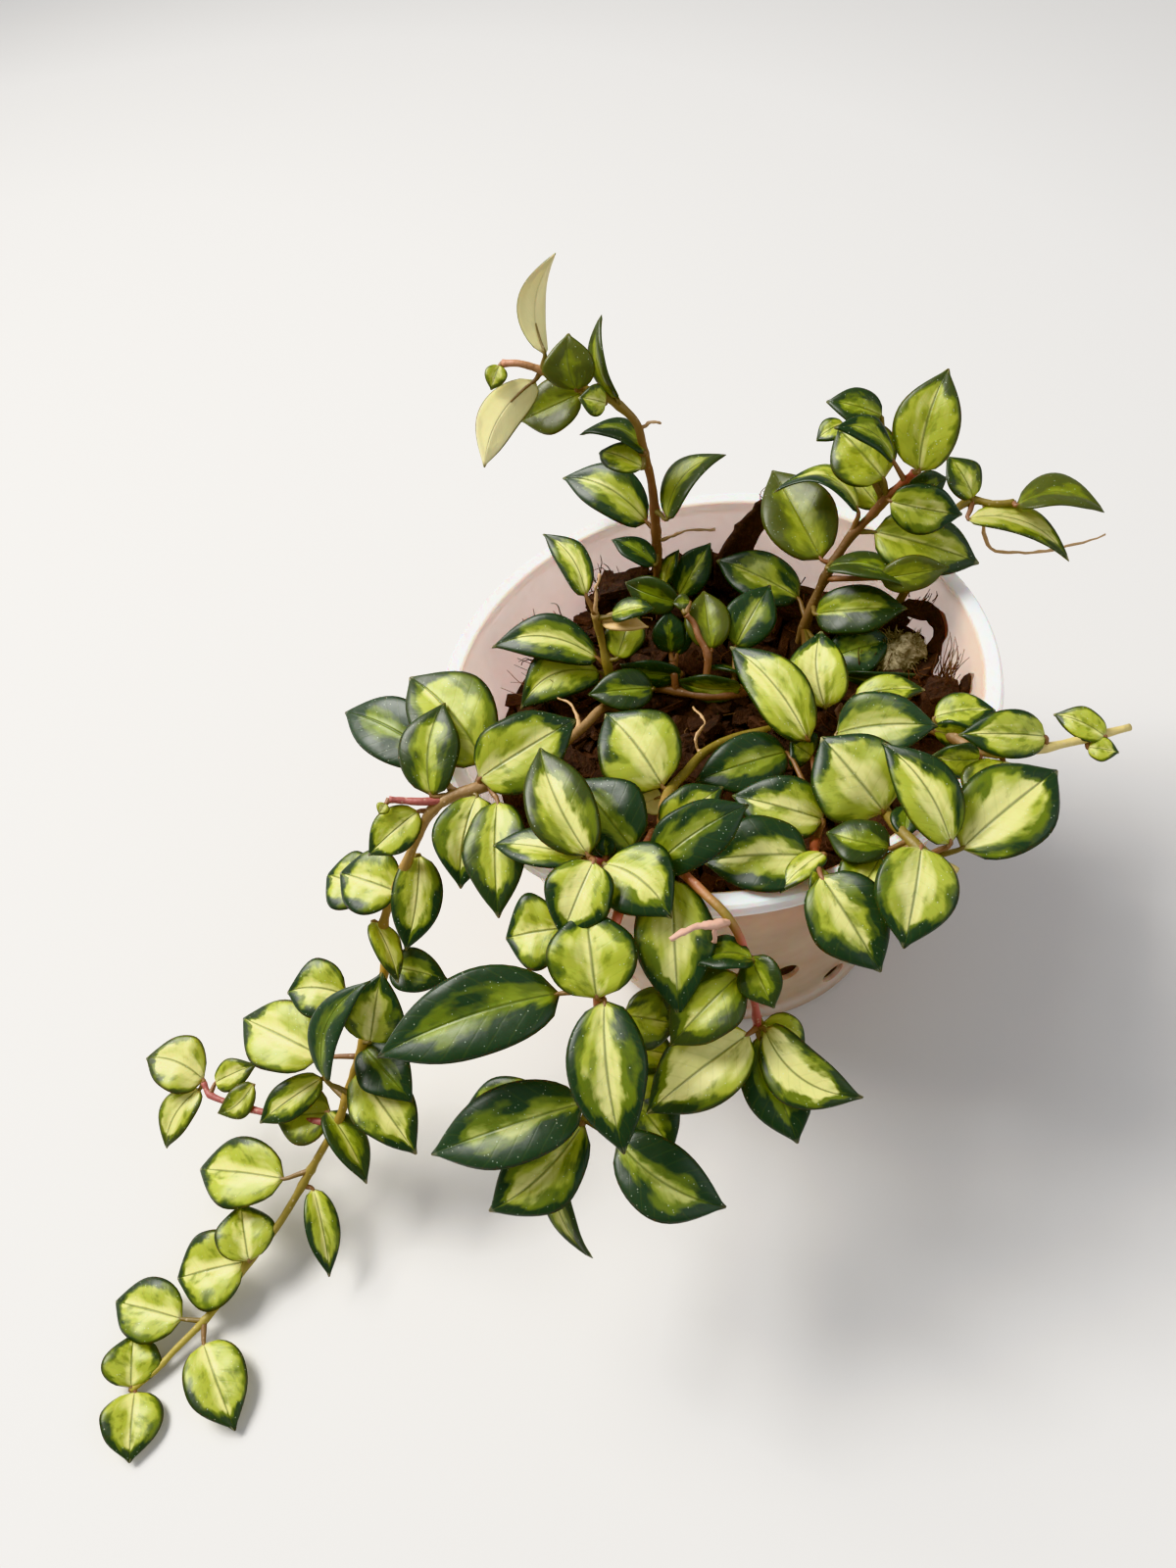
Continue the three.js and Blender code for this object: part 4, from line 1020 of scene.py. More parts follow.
off_heart = leaf_maths("ABSOLUTE", leaf_line(lean, LEAN_SHIFT, signed_across))
taper = leaf_line(leaf_maths("POWER", along, TAPER_POWER), **TAPER)
uneven = leaf_swung(blotch, BLOTCH_SWING, BLOTCH_MIDDLE)
ragged = leaf_swung(lick, LICK_SWING, uneven)
tip_fade = leaf_times(leaf_maths("SUBTRACT", along, TIP_START, clamp=True), TIP_FADE)
plain_reach = leaf_maths("ADD", tip_fade, leaf_line(pale, taper, ragged))
heart_reach = leaf_swung(flame, leaf_line(pale, **FLAME_SWING), plain_reach)
fresh_band = leaf_swung(wash, BAND_SWING, BAND_WIDTH, BAND_MIDDLE)
fresh_reach = leaf_maths("ADD", heart_reach, leaf_maths("MAXIMUM", fresh_band, BAND_LEAST))
heart_mask = leaf_step(off_heart, heart_reach, HEART_BLUR)
fresh_mask = leaf_step(off_heart, fresh_reach, BAND_BLUR)

# %% Variegation, part three: the four colours
HEART_GREEN = (0.19, 0.25, 0.016, 1)
RIPENESS = {"slope": 2.6, "start": -0.1}
CREAM_SWING = 1.8
CREAM_REACH = {"slope": 0.9, "start": -0.2}
CREAM_BLUR = 0.5
SPLASH_OF_LICK = 0.55
SPLASH_OF_WASH = 0.45
SPLASH_EDGE = {"slope": -0.06, "start": 0.445}
SPLASH_BLUR = 0.09
SPLASH_SHARE = 0.6

cream_reach = leaf_swung(wash, CREAM_SWING, leaf_line(creaminess, **CREAM_REACH))
ripe = leaf_line(pale, **RIPENESS, clamp=True)
cream_mask = leaf_times(
    leaf_step(from_rib, cream_reach, CREAM_BLUR), leaf_times(heart_mask, ripe)
)
splash = leaf_maths("ADD", leaf_times(lick, SPLASH_OF_LICK), leaf_times(wash, SPLASH_OF_WASH))
splash_mask = leaf_step(splash, leaf_line(creaminess, **SPLASH_EDGE), SPLASH_BLUR)
splash_share = leaf_times(splash_mask, leaf_times(heart_mask, SPLASH_SHARE))

green = leaf_blend(fresh_mask, dark, fresh)
lit = leaf_blend(heart_mask, green, leaf_blend(ripe, HEART_GREEN, lime))
creamed = leaf_blend(cream_mask, lit, cream)
painted = leaf_blend(splash_share, creamed, fresh)

# %% Variegation, part four: veins and rim
MOTTLE_SHARE = {"slope": 0.9, "start": -0.25}
MOTTLE_TINT = (0.72, 0.78, 0.6, 1)
RIB_HALF = 0.03
RIB_BLUR = 0.045
RIB_SHARE = 0.68
VEIN_RAGGED = 0.03
VEIN_GAP = 0.06
VEIN_HALF = 0.004
VEIN_BLUR = 0.014
VEIN_SHARE = 0.14
RIM_START = {"slope": -0.2, "start": 1.02}
RIM_BLUR = 0.08
RIM_SHARE = 0.85

shaded = leaf_blend(1.0, painted, MOTTLE_TINT, "MULTIPLY")
mottled = leaf_blend(leaf_line(mottle, **MOTTLE_SHARE), painted, shaded)
rib_mask = leaf_step(from_rib, RIB_HALF, RIB_BLUR)
ribbed = leaf_blend(leaf_times(rib_mask, RIB_SHARE), mottled, leaf_blend(0.5, fresh, dark))
vein_wave = leaf_maths("PINGPONG", leaf_line(lick, VEIN_RAGGED, vein_line), VEIN_GAP)
vein_mask = leaf_step(vein_wave, VEIN_HALF, VEIN_BLUR)
veined = leaf_blend(leaf_times(vein_mask, VEIN_SHARE), ribbed, fresh)
rim_mask = above_mask(leaf_tree, from_rib, leaf_line(lick, **RIM_START), RIM_BLUR)
rimmed = leaf_blend(leaf_times(rim_mask, RIM_SHARE), veined, dark)

# %% Variegation, part five: age, flecks and the underside
OLIVE_SHARE = 0.4
OLIVE = (0.17, 0.17, 0.012, 1)
BLUE_SHARE = 0.35
BLUE_GREEN = (0.06, 0.1, 0.06, 1)
FLECK_SHARE = 0.55
FLECK_COLOUR = (0.6, 0.68, 0.5, 1)
# The underside's pale cream is partly the leaf's own paler back and partly a painted glow,
# standing for light that shines through the blade and bounces up from below.
UNDERSIDE_PALE_AND_GLOW_SHARE = {"slope": 0.75, "start": 0.05}
UNDERSIDE_PALE_AND_GLOW_COLOUR = (0.86, 0.78, 0.4, 1)
RIB_HEIGHT = -1.0
VEIN_HEIGHT = -0.1
BLOTCH_HEIGHT = 1.8
MOTTLE_HEIGHT = 0.25

olive_mask = leaf_times(leaf_maths("MAXIMUM", tone, 0.0), OLIVE_SHARE)
blue_mask = leaf_times(leaf_maths("MAXIMUM", leaf_times(tone, -1.0), 0.0), BLUE_SHARE)
aged = leaf_blend(blue_mask, leaf_blend(olive_mask, rimmed, OLIVE), BLUE_GREEN)
white_flecks = flecks(leaf_tree, on_leaf, scale=1500.0, size=0.17)
flecked = leaf_blend(leaf_times(white_flecks, FLECK_SHARE), aged, FLECK_COLOUR)
underside = stored(leaf_tree, "underside").outputs["Fac"]
# Painted glow: undersides are lifted towards pale cream, partly their own paler colour and partly
# light shining through the blade.
paler_and_glowing_below = leaf_times(underside, leaf_line(pale, **UNDERSIDE_PALE_AND_GLOW_SHARE))
below = leaf_blend(paler_and_glowing_below, flecked, UNDERSIDE_PALE_AND_GLOW_COLOUR)

relief = leaf_line(rib_mask, RIB_HEIGHT, leaf_times(vein_mask, VEIN_HEIGHT))
relief = leaf_line(mottle, MOTTLE_HEIGHT, leaf_line(blotch, BLOTCH_HEIGHT, relief))
leaf_tree.links.new(below, leaf_out.inputs["Color"])
leaf_tree.links.new(relief, leaf_out.inputs["Height"])
print("nodes in the leaf pattern:", len(leaf_tree.nodes))


# %% Leaf and bark materials
WORN_BARK = (0.5, 0.42, 0.3, 1)
WORN_SHARE = 0.6
BARK_FLECK = (0.6, 0.45, 0.3, 1)
BARK_FLECK_SHARE = 0.4


def new_material(name, roughness, **constants):
    """A material with one Principled shader; constants are set on the shader itself."""
    material = bpy.data.materials.new(name)
    material.use_nodes = True
    shader = material.node_tree.nodes["Principled BSDF"]
    shader.inputs["Roughness"].default_value = roughness
    for socket, value in constants.items():
        shader.inputs[socket.replace("_", " ")].default_value = value
    return material, material.node_tree, shader


def add_bump(tree, shader, height, strength, distance):
    values = {"Height": height, "Strength": strength, "Distance": distance}
    bump = add_node(tree, "ShaderNodeBump", values)
    tree.links.new(bump.outputs[0], shader.inputs["Normal"])


leaf_skin, tree, shader = new_material(
    "waxy_leaf", 0.42, Subsurface_Weight=0.1, Subsurface_Scale=0.002, Specular_IOR_Level=0.5
)
pattern = add_node(tree, "ShaderNodeGroup", node_tree=leaf_tree)
tree.links.new(pattern.outputs["Color"], shader.inputs["Base Color"])
add_bump(tree, shader, pattern.outputs["Height"], strength=0.5, distance=0.0003)

bark_skin, tree, shader = new_material("stem_bark", 0.5)
on_bark = object_place(tree)
bark_tint = stored(tree, "tint").outputs["Color"]
grain = noise(tree, on_bark, scale=900.0, detail=3.0, rough=0.6)
worn = blend_colour(tree, times(tree, grain, WORN_SHARE), bark_tint, WORN_BARK, "OVERLAY")
bark_flecks = flecks(tree, on_bark, scale=1100.0, size=0.3)
spotted = blend_colour(tree, times(tree, bark_flecks, BARK_FLECK_SHARE), worn, BARK_FLECK)
tree.links.new(spotted, shader.inputs["Base Color"])
add_bump(tree, shader, grain, strength=0.5, distance=0.0004)

# %% Colours of shoots and roots
SHOOT_TINTS = {
    ("long_trailing_vine", 0): "mauve", ("long_trailing_vine", 1): "mauve",
    ("front_trailing_vine", 0): "mauve", ("left_short_vine", 0): "cream",
}
ROOT_LOOKS = {("front_pink_vine", 1): (1.7, "blush"), ("front_pink_vine", 2): (1.5, "blush")}
print("shoots and roots with their own colour:", len(SHOOT_TINTS) + len(ROOT_LOOKS))

# %% Grow the whole plant
SEEDS_TO_A_VINE = 5
ROOT_SEEDS_TO_A_VINE = 7

for order, (vine_name, vine) in enumerate(VINES.items()):
    bench = plant_bench()
    seed = 1 + order * SEEDS_TO_A_VINE
    points = [sight(*point) for point in vine["stem"]]
    shoots = vine.get("shoots", [])
    joints = [shoot["path"][0] for shoot in shoots]
    grow(bench, points, vine["leaves"], STEM_RADIUS, vine["bark"], seed, joints)
    for number, shoot in enumerate(shoots):
        place, *rest = shoot["path"]
        shoot_points = [between(points, place)] + [sight(*point) for point in rest]
        colour = SHOOT_TINTS.get((vine_name, number), vine["bark"][-1][1])
        bark = [(0, colour), (len(rest), colour)]
        grow(bench, shoot_points, shoot["leaves"], SHOOT_RADIUS, bark, seed + 1 + number)
    for number, (place, *rest) in enumerate(vine.get("roots", [])):
        root_points = [between(points, place)] + [sight(*point) for point in rest]
        root_seed = order * ROOT_SEEDS_TO_A_VINE + number
        add_root(bench, root_points, root_seed, *ROOT_LOOKS.get((vine_name, number), ()))
    new_piece(vine_name + "_grown", bench, [leaf_skin, bark_skin], [vine_name])

# %% [markdown]
# ## The pot
#
# A thin frosted nursery pot is a turned shell, so its section is drawn once and spun about the
# upright axis. The round drain holes are cut with a Boolean from short cylinders, and its result
# is kept as the mesh. Frosted plastic lets the husk show through as a soft brown shade, so the
# wall is partly see-through.

# %% Pot sizes
POT_HEIGHT = 86 * MM
RIM_RADIUS = 60 * MM
RIM_INNER = 55.6 * MM
RIM_DROP = 3.2 * MM
RIM_FOOT = POT_HEIGHT - RIM_DROP
WALL_TOP = 57 * MM
BASE_RADIUS = 38 * MM
WALL = 1.3 * MM
FLOOR = 1.8 * MM
POT_STEPS = 128
DRAIN_RADIUS = 2.9 * MM
DRAIN_RINGS = ((34 * MM, -88), (17 * MM, -70))
DRAIN_STRETCH = 1.7
DRAINS_IN_A_RING = 10
FLOOR_RING = 24 * MM
FLOOR_DRAINS = 6
DRILL_SIDES = 28
DRILL_LENGTH = 12 * MM
SHARP_FROM = math.radians(38)


def wall_radius(height):
    return BASE_RADIUS + (WALL_TOP - BASE_RADIUS) * height / RIM_FOOT


def on_wall(height, inwards=0):
    """A point of the section: on the wall's outside at that height, or so far inside it, in mm."""
    return wall_radius(height * MM) - inwards * MM, height * MM


# %% Spin the section
def spin_section(bench, section, steps):
    """Spins a row of (radius, height) pairs full circle about Z into a closed shell."""
    corners = [bench.verts.new((radius, 0, height)) for radius, height in section]
    edges = [bench.edges.new(pair) for pair in zip(corners, corners[1:])]
    bmesh.ops.spin(
        bench, geom=corners + edges, cent=(0, 0, 0), axis=(0, 0, 1), angle=math.tau,
        steps=steps, use_merge=True,
    )
    bmesh.ops.remove_doubles(bench, verts=bench.verts[:], dist=MERGE_DISTANCE)
    bmesh.ops.recalc_face_normals(bench, faces=bench.faces[:])


outside = [
    (0, 0), (BASE_RADIUS - 1.4 * MM, 0), (BASE_RADIUS - 0.3 * MM, 0.5 * MM),
    (BASE_RADIUS, 1.6 * MM), on_wall(8), on_wall(40), on_wall(72), on_wall(RIM_FOOT / MM - 1.2),
]
rim = [
    (WALL_TOP + 0.5 * MM, RIM_FOOT - 0.3 * MM), (RIM_RADIUS - 0.6 * MM, RIM_FOOT),
    (RIM_RADIUS - 0.1 * MM, RIM_FOOT + 0.4 * MM), (RIM_RADIUS, RIM_FOOT + 1.0 * MM),
    (RIM_RADIUS - 0.35 * MM, RIM_FOOT + 1.5 * MM), (RIM_RADIUS - 0.3 * MM, POT_HEIGHT - 0.6 * MM),
    (RIM_RADIUS - 0.9 * MM, POT_HEIGHT), (RIM_INNER + 0.9 * MM, POT_HEIGHT),
    (RIM_INNER + 0.2 * MM, POT_HEIGHT - 0.4 * MM), (RIM_INNER, POT_HEIGHT - 1.2 * MM),
]
inside = [
    on_wall(78, WALL / MM), on_wall(40, WALL / MM), on_wall(5, WALL / MM),
    (BASE_RADIUS - WALL - 1.2 * MM, FLOOR), (0, FLOOR),
]
bench = bmesh.new()
spin_section(bench, outside + rim + inside, POT_STEPS)
pot = put_down("nursery_pot_thin", bench)
print("points of the section:", len(outside + rim + inside))

# %% Drill the drain holes
def add_drill(bench, place):
    """A short cylinder across a wall; the cut leaves a round hole where it stands."""
    return bmesh.ops.create_cone(
        bench, cap_ends=True, segments=DRILL_SIDES, radius1=DRAIN_RADIUS, radius2=DRAIN_RADIUS,
        depth=DRILL_LENGTH, matrix=place,
    )["verts"]


bench = bmesh.new()
for height, first in DRAIN_RINGS:
    for count in range(DRAINS_IN_A_RING):
        bearing = math.radians(first + count * 360 / DRAINS_IN_A_RING)
        out = Quaternion(UP, bearing) @ Vector((1, 0, 0))
        through = out * wall_radius(height) + UP * height
        drill = add_drill(bench, Matrix.LocRotScale(through, UP.rotation_difference(out), None))
        taller = Matrix.Translation(UP * height) @ Matrix.Diagonal((1, 1, DRAIN_STRETCH, 1))
        bmesh.ops.transform(bench, matrix=taller @ Matrix.Translation(UP * -height), verts=drill)
for count in range(FLOOR_DRAINS):
    out = Quaternion(UP, count / FLOOR_DRAINS * math.tau) @ Vector((1, 0, 0))
    add_drill(bench, Matrix.Translation(out * FLOOR_RING))
drills = put_down("drills", bench)
cut = pot.modifiers.new("drain_holes", "BOOLEAN")
cut.operation = "DIFFERENCE"
cut.object = drills
cut.solver = "EXACT"
bpy.context.view_layer.update()
drilled = bpy.data.meshes.new_from_object(
    pot.evaluated_get(bpy.context.evaluated_depsgraph_get())
)
pot.modifiers.clear()
pot.data = drilled
bpy.data.objects.remove(drills)
for polygon in pot.data.polygons:
    polygon.use_smooth = True
pot.data.set_sharp_from_angle(angle=SHARP_FROM)
print("pot faces:", len(pot.data.polygons))

# %% Frosted plastic
SCUFF_STRETCH = (40, 40, 900)
# The warm pinkish milky colours are partly the plastic's own hue and partly painted warm light,
# standing for warm light bounced from below that shines through the wall.
MILKY_AND_WARM_GLOW = ((0.8, 0.51, 0.34, 1), (0.95, 0.69, 0.48, 1))
RIM_WHITE = (0.93, 0.93, 0.92, 1)
RIM_FROM = 0.0822
RIM_BLUR_UP = 0.001
RIM_WITHIN = 0.0562
RIM_BLUR_OUT = 0.0006
RIM_DENSER = 0.4
WALL_DENSITY = {"slope": 0.16, "start": 0.34}

frosted, tree, shader = new_material(
    "frosted_plastic", 0.32, Alpha=0.6, IOR=1.46, Subsurface_Weight=0.6, Subsurface_Scale=0.004
)
on_pot = object_place(tree)
cloud = noise(tree, on_pot, scale=60.0, detail=3.0, rough=0.6)
stretched = add_node(tree, "ShaderNodeMapping", {"Vector": on_pot, "Scale": SCUFF_STRETCH})
scuffs = noise(tree, stretched.outputs[0], scale=1.0, detail=4.0, rough=0.7)
height_of = add_node(tree, "ShaderNodeSeparateXYZ", {0: on_pot}).outputs[2]
flattened = add_node(
    tree, "ShaderNodeVectorMath", {0: on_pot, 1: (1, 1, 0)}, operation="MULTIPLY"
)
off_axis = add_node(tree, "ShaderNodeVectorMath", {0: flattened.outputs[0]}, operation="LENGTH")
above_foot = above_mask(tree, height_of, RIM_FROM, RIM_BLUR_UP)
off_inside = above_mask(tree, off_axis.outputs[1], RIM_WITHIN, RIM_BLUR_OUT)
rim_share = times(tree, above_foot, off_inside)
# Wall colour with painted warm glow, partly the plastic's own tint; the rim flange stays white.
wall_glow_and_white_rim = blend_colour(tree, rim_share, blend_colour(tree, cloud, *MILKY_AND_WARM_GLOW), RIM_WHITE)
see_through = line(tree, rim_share, RIM_DENSER, line(tree, cloud, **WALL_DENSITY))
tree.links.new(wall_glow_and_white_rim, shader.inputs["Base Color"])
tree.links.new(see_through, shader.inputs["Alpha"])
add_bump(tree, shader, scuffs, strength=0.12, distance=0.0004)
pot.data.materials.clear()
pot.data.materials.append(frosted)
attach(pot, "root")
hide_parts("nursery_pot")

# %% [markdown]
# ## The husk filling
#
# Coarse coconut husk lies as chips and strips of every size, dark and fibrous, with black gaps
# between. One solid core carries the colour of the filling seen through the pot wall. On it lie a
# few hundred loose chips, each a cube with bevelled, roughened corners, scattered by a seeded
# draw, and thin curved fibres that stick up among them.

# %% Husk material
# The near-black patches are partly the husk's own dark tone and partly painted shade, standing for
# the shade under the leaves and between the chips.
HUSK_DARK_AND_SHADE = (0.006, 0.003, 0.002, 1)
HUSK_STRAND = (0.2, 0.08, 0.035, 1)
STRAND_POWER = 3.5

husk_skin, tree, shader = new_material("husk_chips", 0.85)
on_husk = object_place(tree)
husk_tint = stored(tree, "tint").outputs["Color"]
strands = noise(tree, on_husk, scale=700.0, detail=4.0, rough=0.7)
patches = noise(tree, on_husk, scale=120.0, detail=3.0, rough=0.6)
# Painted shade mixed with the husk's own dark tone: noise patches drift towards near black.
darker_and_shaded = blend_colour(tree, patches, husk_tint, HUSK_DARK_AND_SHADE)
strand_share = maths(tree, "POWER", strands, STRAND_POWER)
fibrous = blend_colour(tree, strand_share, darker_and_shaded, HUSK_STRAND)
tree.links.new(fibrous, shader.inputs["Base Color"])
add_bump(tree, shader, strands, strength=0.9, distance=0.0012)

# %% Chips, fibres and strips
# The chip colours are kept very dark: partly the husk's own tone, partly painted shade under the
# leaves.
HUSK_COLOURS = (
    (0.022, 0.01, 0.006), (0.036, 0.015, 0.008), (0.06, 0.023, 0.012), (0.012, 0.007, 0.005),
)
HUSK_FIBRES = ((0.2, 0.09, 0.045), (0.32, 0.19, 0.1), (0.12, 0.05, 0.03))
FIBRE_SIDES = 4
STRIP_SIDES = 14
STRIP_BUMPS = 0.9 * MM
CHIP_BEVEL = 0.16
CHIP_NUDGE = 0.1
TUFT_FIBRE = (0.16, 0.06)
SWING_SHARES = (0.5, 1.1)
SWING_SPREAD = 0.28
BOW_SPREAD = 0.12


def husk_bench():
    bench = bmesh.new()
    bench.verts.layers.float_color.new("tint")
    return bench


def husk_piece(name, bench, material, node):
    """A piece with one finish only, the first, whatever its tubes were given."""
    for face in bench.faces:
        face.material_index = 0
    new_piece(name, bench, [material], [node])


def shaken(chance, spread):
    return Vector([chance.gauss(0, spread) for _ in range(3)])


def drawn(chance, *ranges):
    """Three lengths, each drawn from its range in mm."""
    return Vector([chance.uniform(*ends) for ends in ranges]) * MM


def drawn_place(chance, radius):
    """A reach and a bearing about the pot's axis, drawn evenly over a disc."""
    return radius * math.sqrt(chance.random()), chance.uniform(0, math.tau)


def tumbled(chance, lean):
    """A turn of any bearing that leans a little."""
    turn = Quaternion(UP, chance.uniform(0, math.tau))
    return turn @ Quaternion((1, 0, 0), chance.gauss(0, lean))


def inside_pot(point, margin=0.6 * MM):
    """The point itself, or drawn in towards the pot's axis until it is clear of the wall."""
    level = Vector((point.x, point.y, 0))
    limit = wall_radius(min(point.z, POT_HEIGHT)) - WALL - margin
    if level.length > limit:
        level *= limit / level.length
    return Vector((level.x, level.y, point.z))


def add_chip(bench, middle, size, turn, colour, chance):
    """A bevelled block with every corner nudged, so that no two chips are alike."""
    layer = bench.verts.layers.float_color["tint"]
    verts = bmesh.ops.create_cube(bench, size=1)["verts"]
    edges = each_once(edge for vert in verts for edge in vert.link_edges)
    faces = bmesh.ops.bevel(
        bench, geom=edges, offset=CHIP_BEVEL, segments=1, profile=0.5, affect="EDGES", material=-1
    )["faces"]
    verts = each_once(vert for face in faces for vert in face.verts)
    for vert in verts:
        nudge = Vector([chance.uniform(-CHIP_NUDGE, CHIP_NUDGE) for _ in range(3)])
        vert.co = middle + turn @ ((vert.co + nudge) * size)
        vert[layer] = (*colour, 1)


def add_fibre(bench, start, swing, bow, steps, thickness, colour):
    """A hair of husk that swings out from its root in a bow, and stays inside the pot."""
    path, _ = smooth_path([start, start + swing / 2 + bow, start + swing], steps)
    path = [inside_pot(point) for point in path]
    first, last = thickness
    radii = [(first + (last - first) * step / len(path)) * MM for step in range(len(path))]
    add_tube(bench, path, radii, FIBRE_SIDES, [colour] * len(path), 0)


def add_tuft(bench, middle, spread, reach, count, colours, chance):
    """Fibres that spring from about one place. Spread and reach are in mm, reach is a vector."""
    for _ in range(count):
        start = middle + shaken(chance, spread) * MM
        swing = Vector(reach) * chance.uniform(*SWING_SHARES) * MM
        swing += shaken(chance, swing.length * SWING_SPREAD)
        bow = shaken(chance, swing.length * BOW_SPREAD)
        add_fibre(bench, start, swing, bow, 4, TUFT_FIBRE, chance.choice(colours))


def add_strip(bench, points, widths, flat, spin, colour):
    """A torn strip of husk along points of the view, as wide in mm as the widths say."""
    path, places = smooth_path([sight(*point) for point in points], 8)
    radii = []
    for place in places:
        first = min(int(place), len(widths) - 2)
        step = widths[first + 1] - widths[first]
        radii.append((widths[first] + step * (place - first)) / 2 * MM)
    tints = [colour] * len(path)
    add_tube(bench, path, radii, STRIP_SIDES, tints, 0, flat, spin, STRIP_BUMPS)


# %% Core
HUSK_SEED = 5
CORE_STEPS = 72
CORE_COLOUR = (0.05, 0.026, 0.016, 1)

chance = random.Random(HUSK_SEED)
bench = husk_bench()
tint_layer = bench.verts.layers.float_color["tint"]
core_foot = FLOOR + 0.3 * MM
core = [
    (0, core_foot), (BASE_RADIUS - 2.4 * MM, core_foot), on_wall(40, 2.2), on_wall(66, 2.4),
    (0, 66.5 * MM),
]
spin_section(bench, core, CORE_STEPS)
for vert in bench.verts:
    vert[tint_layer] = CORE_COLOUR
print("core faces:", len(bench.faces))

# %% Loose chips and fibres on it
CHIP_COUNT = 520
CHIP_SPREAD = 49 * MM
CHIP_LIMIT = 50.5 * MM
CHIP_HEIGHTS = (66, 69.5)
CHIP_LEAN = 0.4
CHIP_TIP = 0.3
FIBRE_COUNT = 160
FIBRE_SPREAD = 46 * MM
FIBRE_FOOT = 68 * MM
LOOSE_FIBRE = (0.14, 0.14)

for count in range(CHIP_COUNT):
    reach, bearing = drawn_place(chance, CHIP_SPREAD)
    size = drawn(chance, (4, 11), (2, 5), (1.2, 3))
    reach = min(reach, CHIP_LIMIT - size.x / 2)
    height = chance.uniform(*CHIP_HEIGHTS) * MM
    middle = Vector((reach * math.cos(bearing), reach * math.sin(bearing), height))
    turn = tumbled(chance, CHIP_LEAN) @ Quaternion((0, 1, 0), chance.gauss(0, CHIP_TIP))
    add_chip(bench, middle, size, turn, chance.choice(HUSK_COLOURS), chance)
for count in range(FIBRE_COUNT):
    reach, bearing = drawn_place(chance, FIBRE_SPREAD)
    start = Vector((reach * math.cos(bearing), reach * math.sin(bearing), FIBRE_FOOT))
    swing = drawn(chance, (-6, 6), (-6, 6), (0.5, 4))
    bow = drawn(chance, (-2, 2), (-2, 2), (0, 2))
    add_fibre(bench, start, swing, bow, 3, LOOSE_FIBRE, chance.choice(HUSK_FIBRES))

# %% Tufts, heaps and pebbles where they are seen
HEAP_SPREAD = 1.8
HEAP_MARGIN = 5.5 * MM
HEAP_LEAN = 0.5
CHIPS_IN_A_HEAP = 3
PEBBLE_HEIGHT = 71
PEBBLE_REACH = 4

for place, spread_of_roots, swing, count in (
    ((585, 708, 70), 2, (-9, 5, 5), 26),
    ((612, 590, 71), 3, (-4, 6, 5), 22),
    ((560, 650, 70), 2.5, (-5, 5, 4), 14),
    ((880, 700, 70), 2, (4, 3, 5), 14),
):
    add_tuft(bench, sight(*place), spread_of_roots, swing, count, HUSK_FIBRES, chance)
for place in (
    (590, 632, 70), (612, 618, 71), (600, 604, 72), (632, 604, 73), (650, 590, 72), (628, 588, 74),
    (676, 590, 71), (705, 588, 72), (730, 582, 72), (722, 566, 74), (750, 580, 71), (646, 618, 70),
    (900, 640, 70), (925, 660, 71), (942, 688, 71), (905, 690, 70), (975, 712, 71), (990, 722, 71),
):
    for _ in range(CHIPS_IN_A_HEAP):
        middle = inside_pot(sight(*place) + shaken(chance, HEAP_SPREAD) * MM, HEAP_MARGIN)
        size = drawn(chance, (4, 9), (3, 5), (1.5, 3))
        turn = tumbled(chance, HEAP_LEAN)
        add_chip(bench, middle, size, turn, chance.choice(HUSK_COLOURS), chance)
for across, down, size, colour in (
    (857, 727, 2.6, (0.55, 0.36, 0.27)), (946, 683, 1.3, (0.8, 0.74, 0.62)),
    (583, 786, 1.4, (0.5, 0.33, 0.18)),
):
    pebble = [(across + step * PEBBLE_REACH, down, PEBBLE_HEIGHT) for step in (-1, 0, 1)]
    add_strip(bench, pebble, (size * 0.6, size * 2, size * 0.6), 0.9, 0, colour)
husk_piece("husk_bed_loose", bench, husk_skin, "husk_bed")

# %% [markdown]
# ## Larger loose pieces
#
# Four pieces stand out of the filling: a tall flat chip at the back, a torn strip bent over like
# an arch, a fibrous chunk at the right, and a lump of dry moss. Strips are the tube maker's rings,
# pressed flat and roughened. The moss is a ball with its points pushed about by noise, and a coat
# of short hairs hides its outline.

# %% Torn pieces of husk
RED_FIBRES = ((0.26, 0.09, 0.04), (0.36, 0.15, 0.06))

bench = husk_bench()
tall_line = [(738, 600, 69), (752, 560, 79), (785, 512, 88)]
add_strip(bench, tall_line, (8, 10, 6), 0.36, 0.35, HUSK_COLOURS[1])
add_tuft(bench, sight(782, 520, 87), 1, (1, 2, 4), 10, HUSK_FIBRES, chance)
husk_piece("tall_husk_chip_torn", bench, husk_skin, "tall_husk_chip")

bench = husk_bench()
arch_line = [(908, 652, 69), (912, 630, 76), (936, 622, 79), (958, 636, 77), (952, 668, 72)]
add_strip(bench, arch_line, (6, 6, 5, 5, 4), 0.5, 1.0, HUSK_COLOURS[0])
add_tuft(bench, sight(940, 622, 79), 1.5, (2, 2, 3), 14, HUSK_FIBRES, chance)
husk_piece("bent_husk_strip", bench, husk_skin, "bent_husk_chunk")

bench = husk_bench()
upright_line = [(955, 744, 69), (958, 715, 73), (964, 694, 76)]
side_line = [(968, 716, 72), (986, 700, 76), (990, 690, 78)]
add_strip(bench, upright_line, (8, 9, 6), 0.6, 0.2, HUSK_COLOURS[2])
add_strip(bench, side_line, (5, 5, 2), 0.6, 0.9, HUSK_COLOURS[0])
add_tuft(bench, sight(962, 698, 75), 1.4, (3, 3, 6), 34, HUSK_FIBRES, chance)
add_tuft(bench, sight(936, 706, 72), 1.5, (-3, 2, 2), 30, RED_FIBRES, chance)
husk_piece("fibrous_husk_torn", bench, husk_skin, "fibrous_husk_chunk")

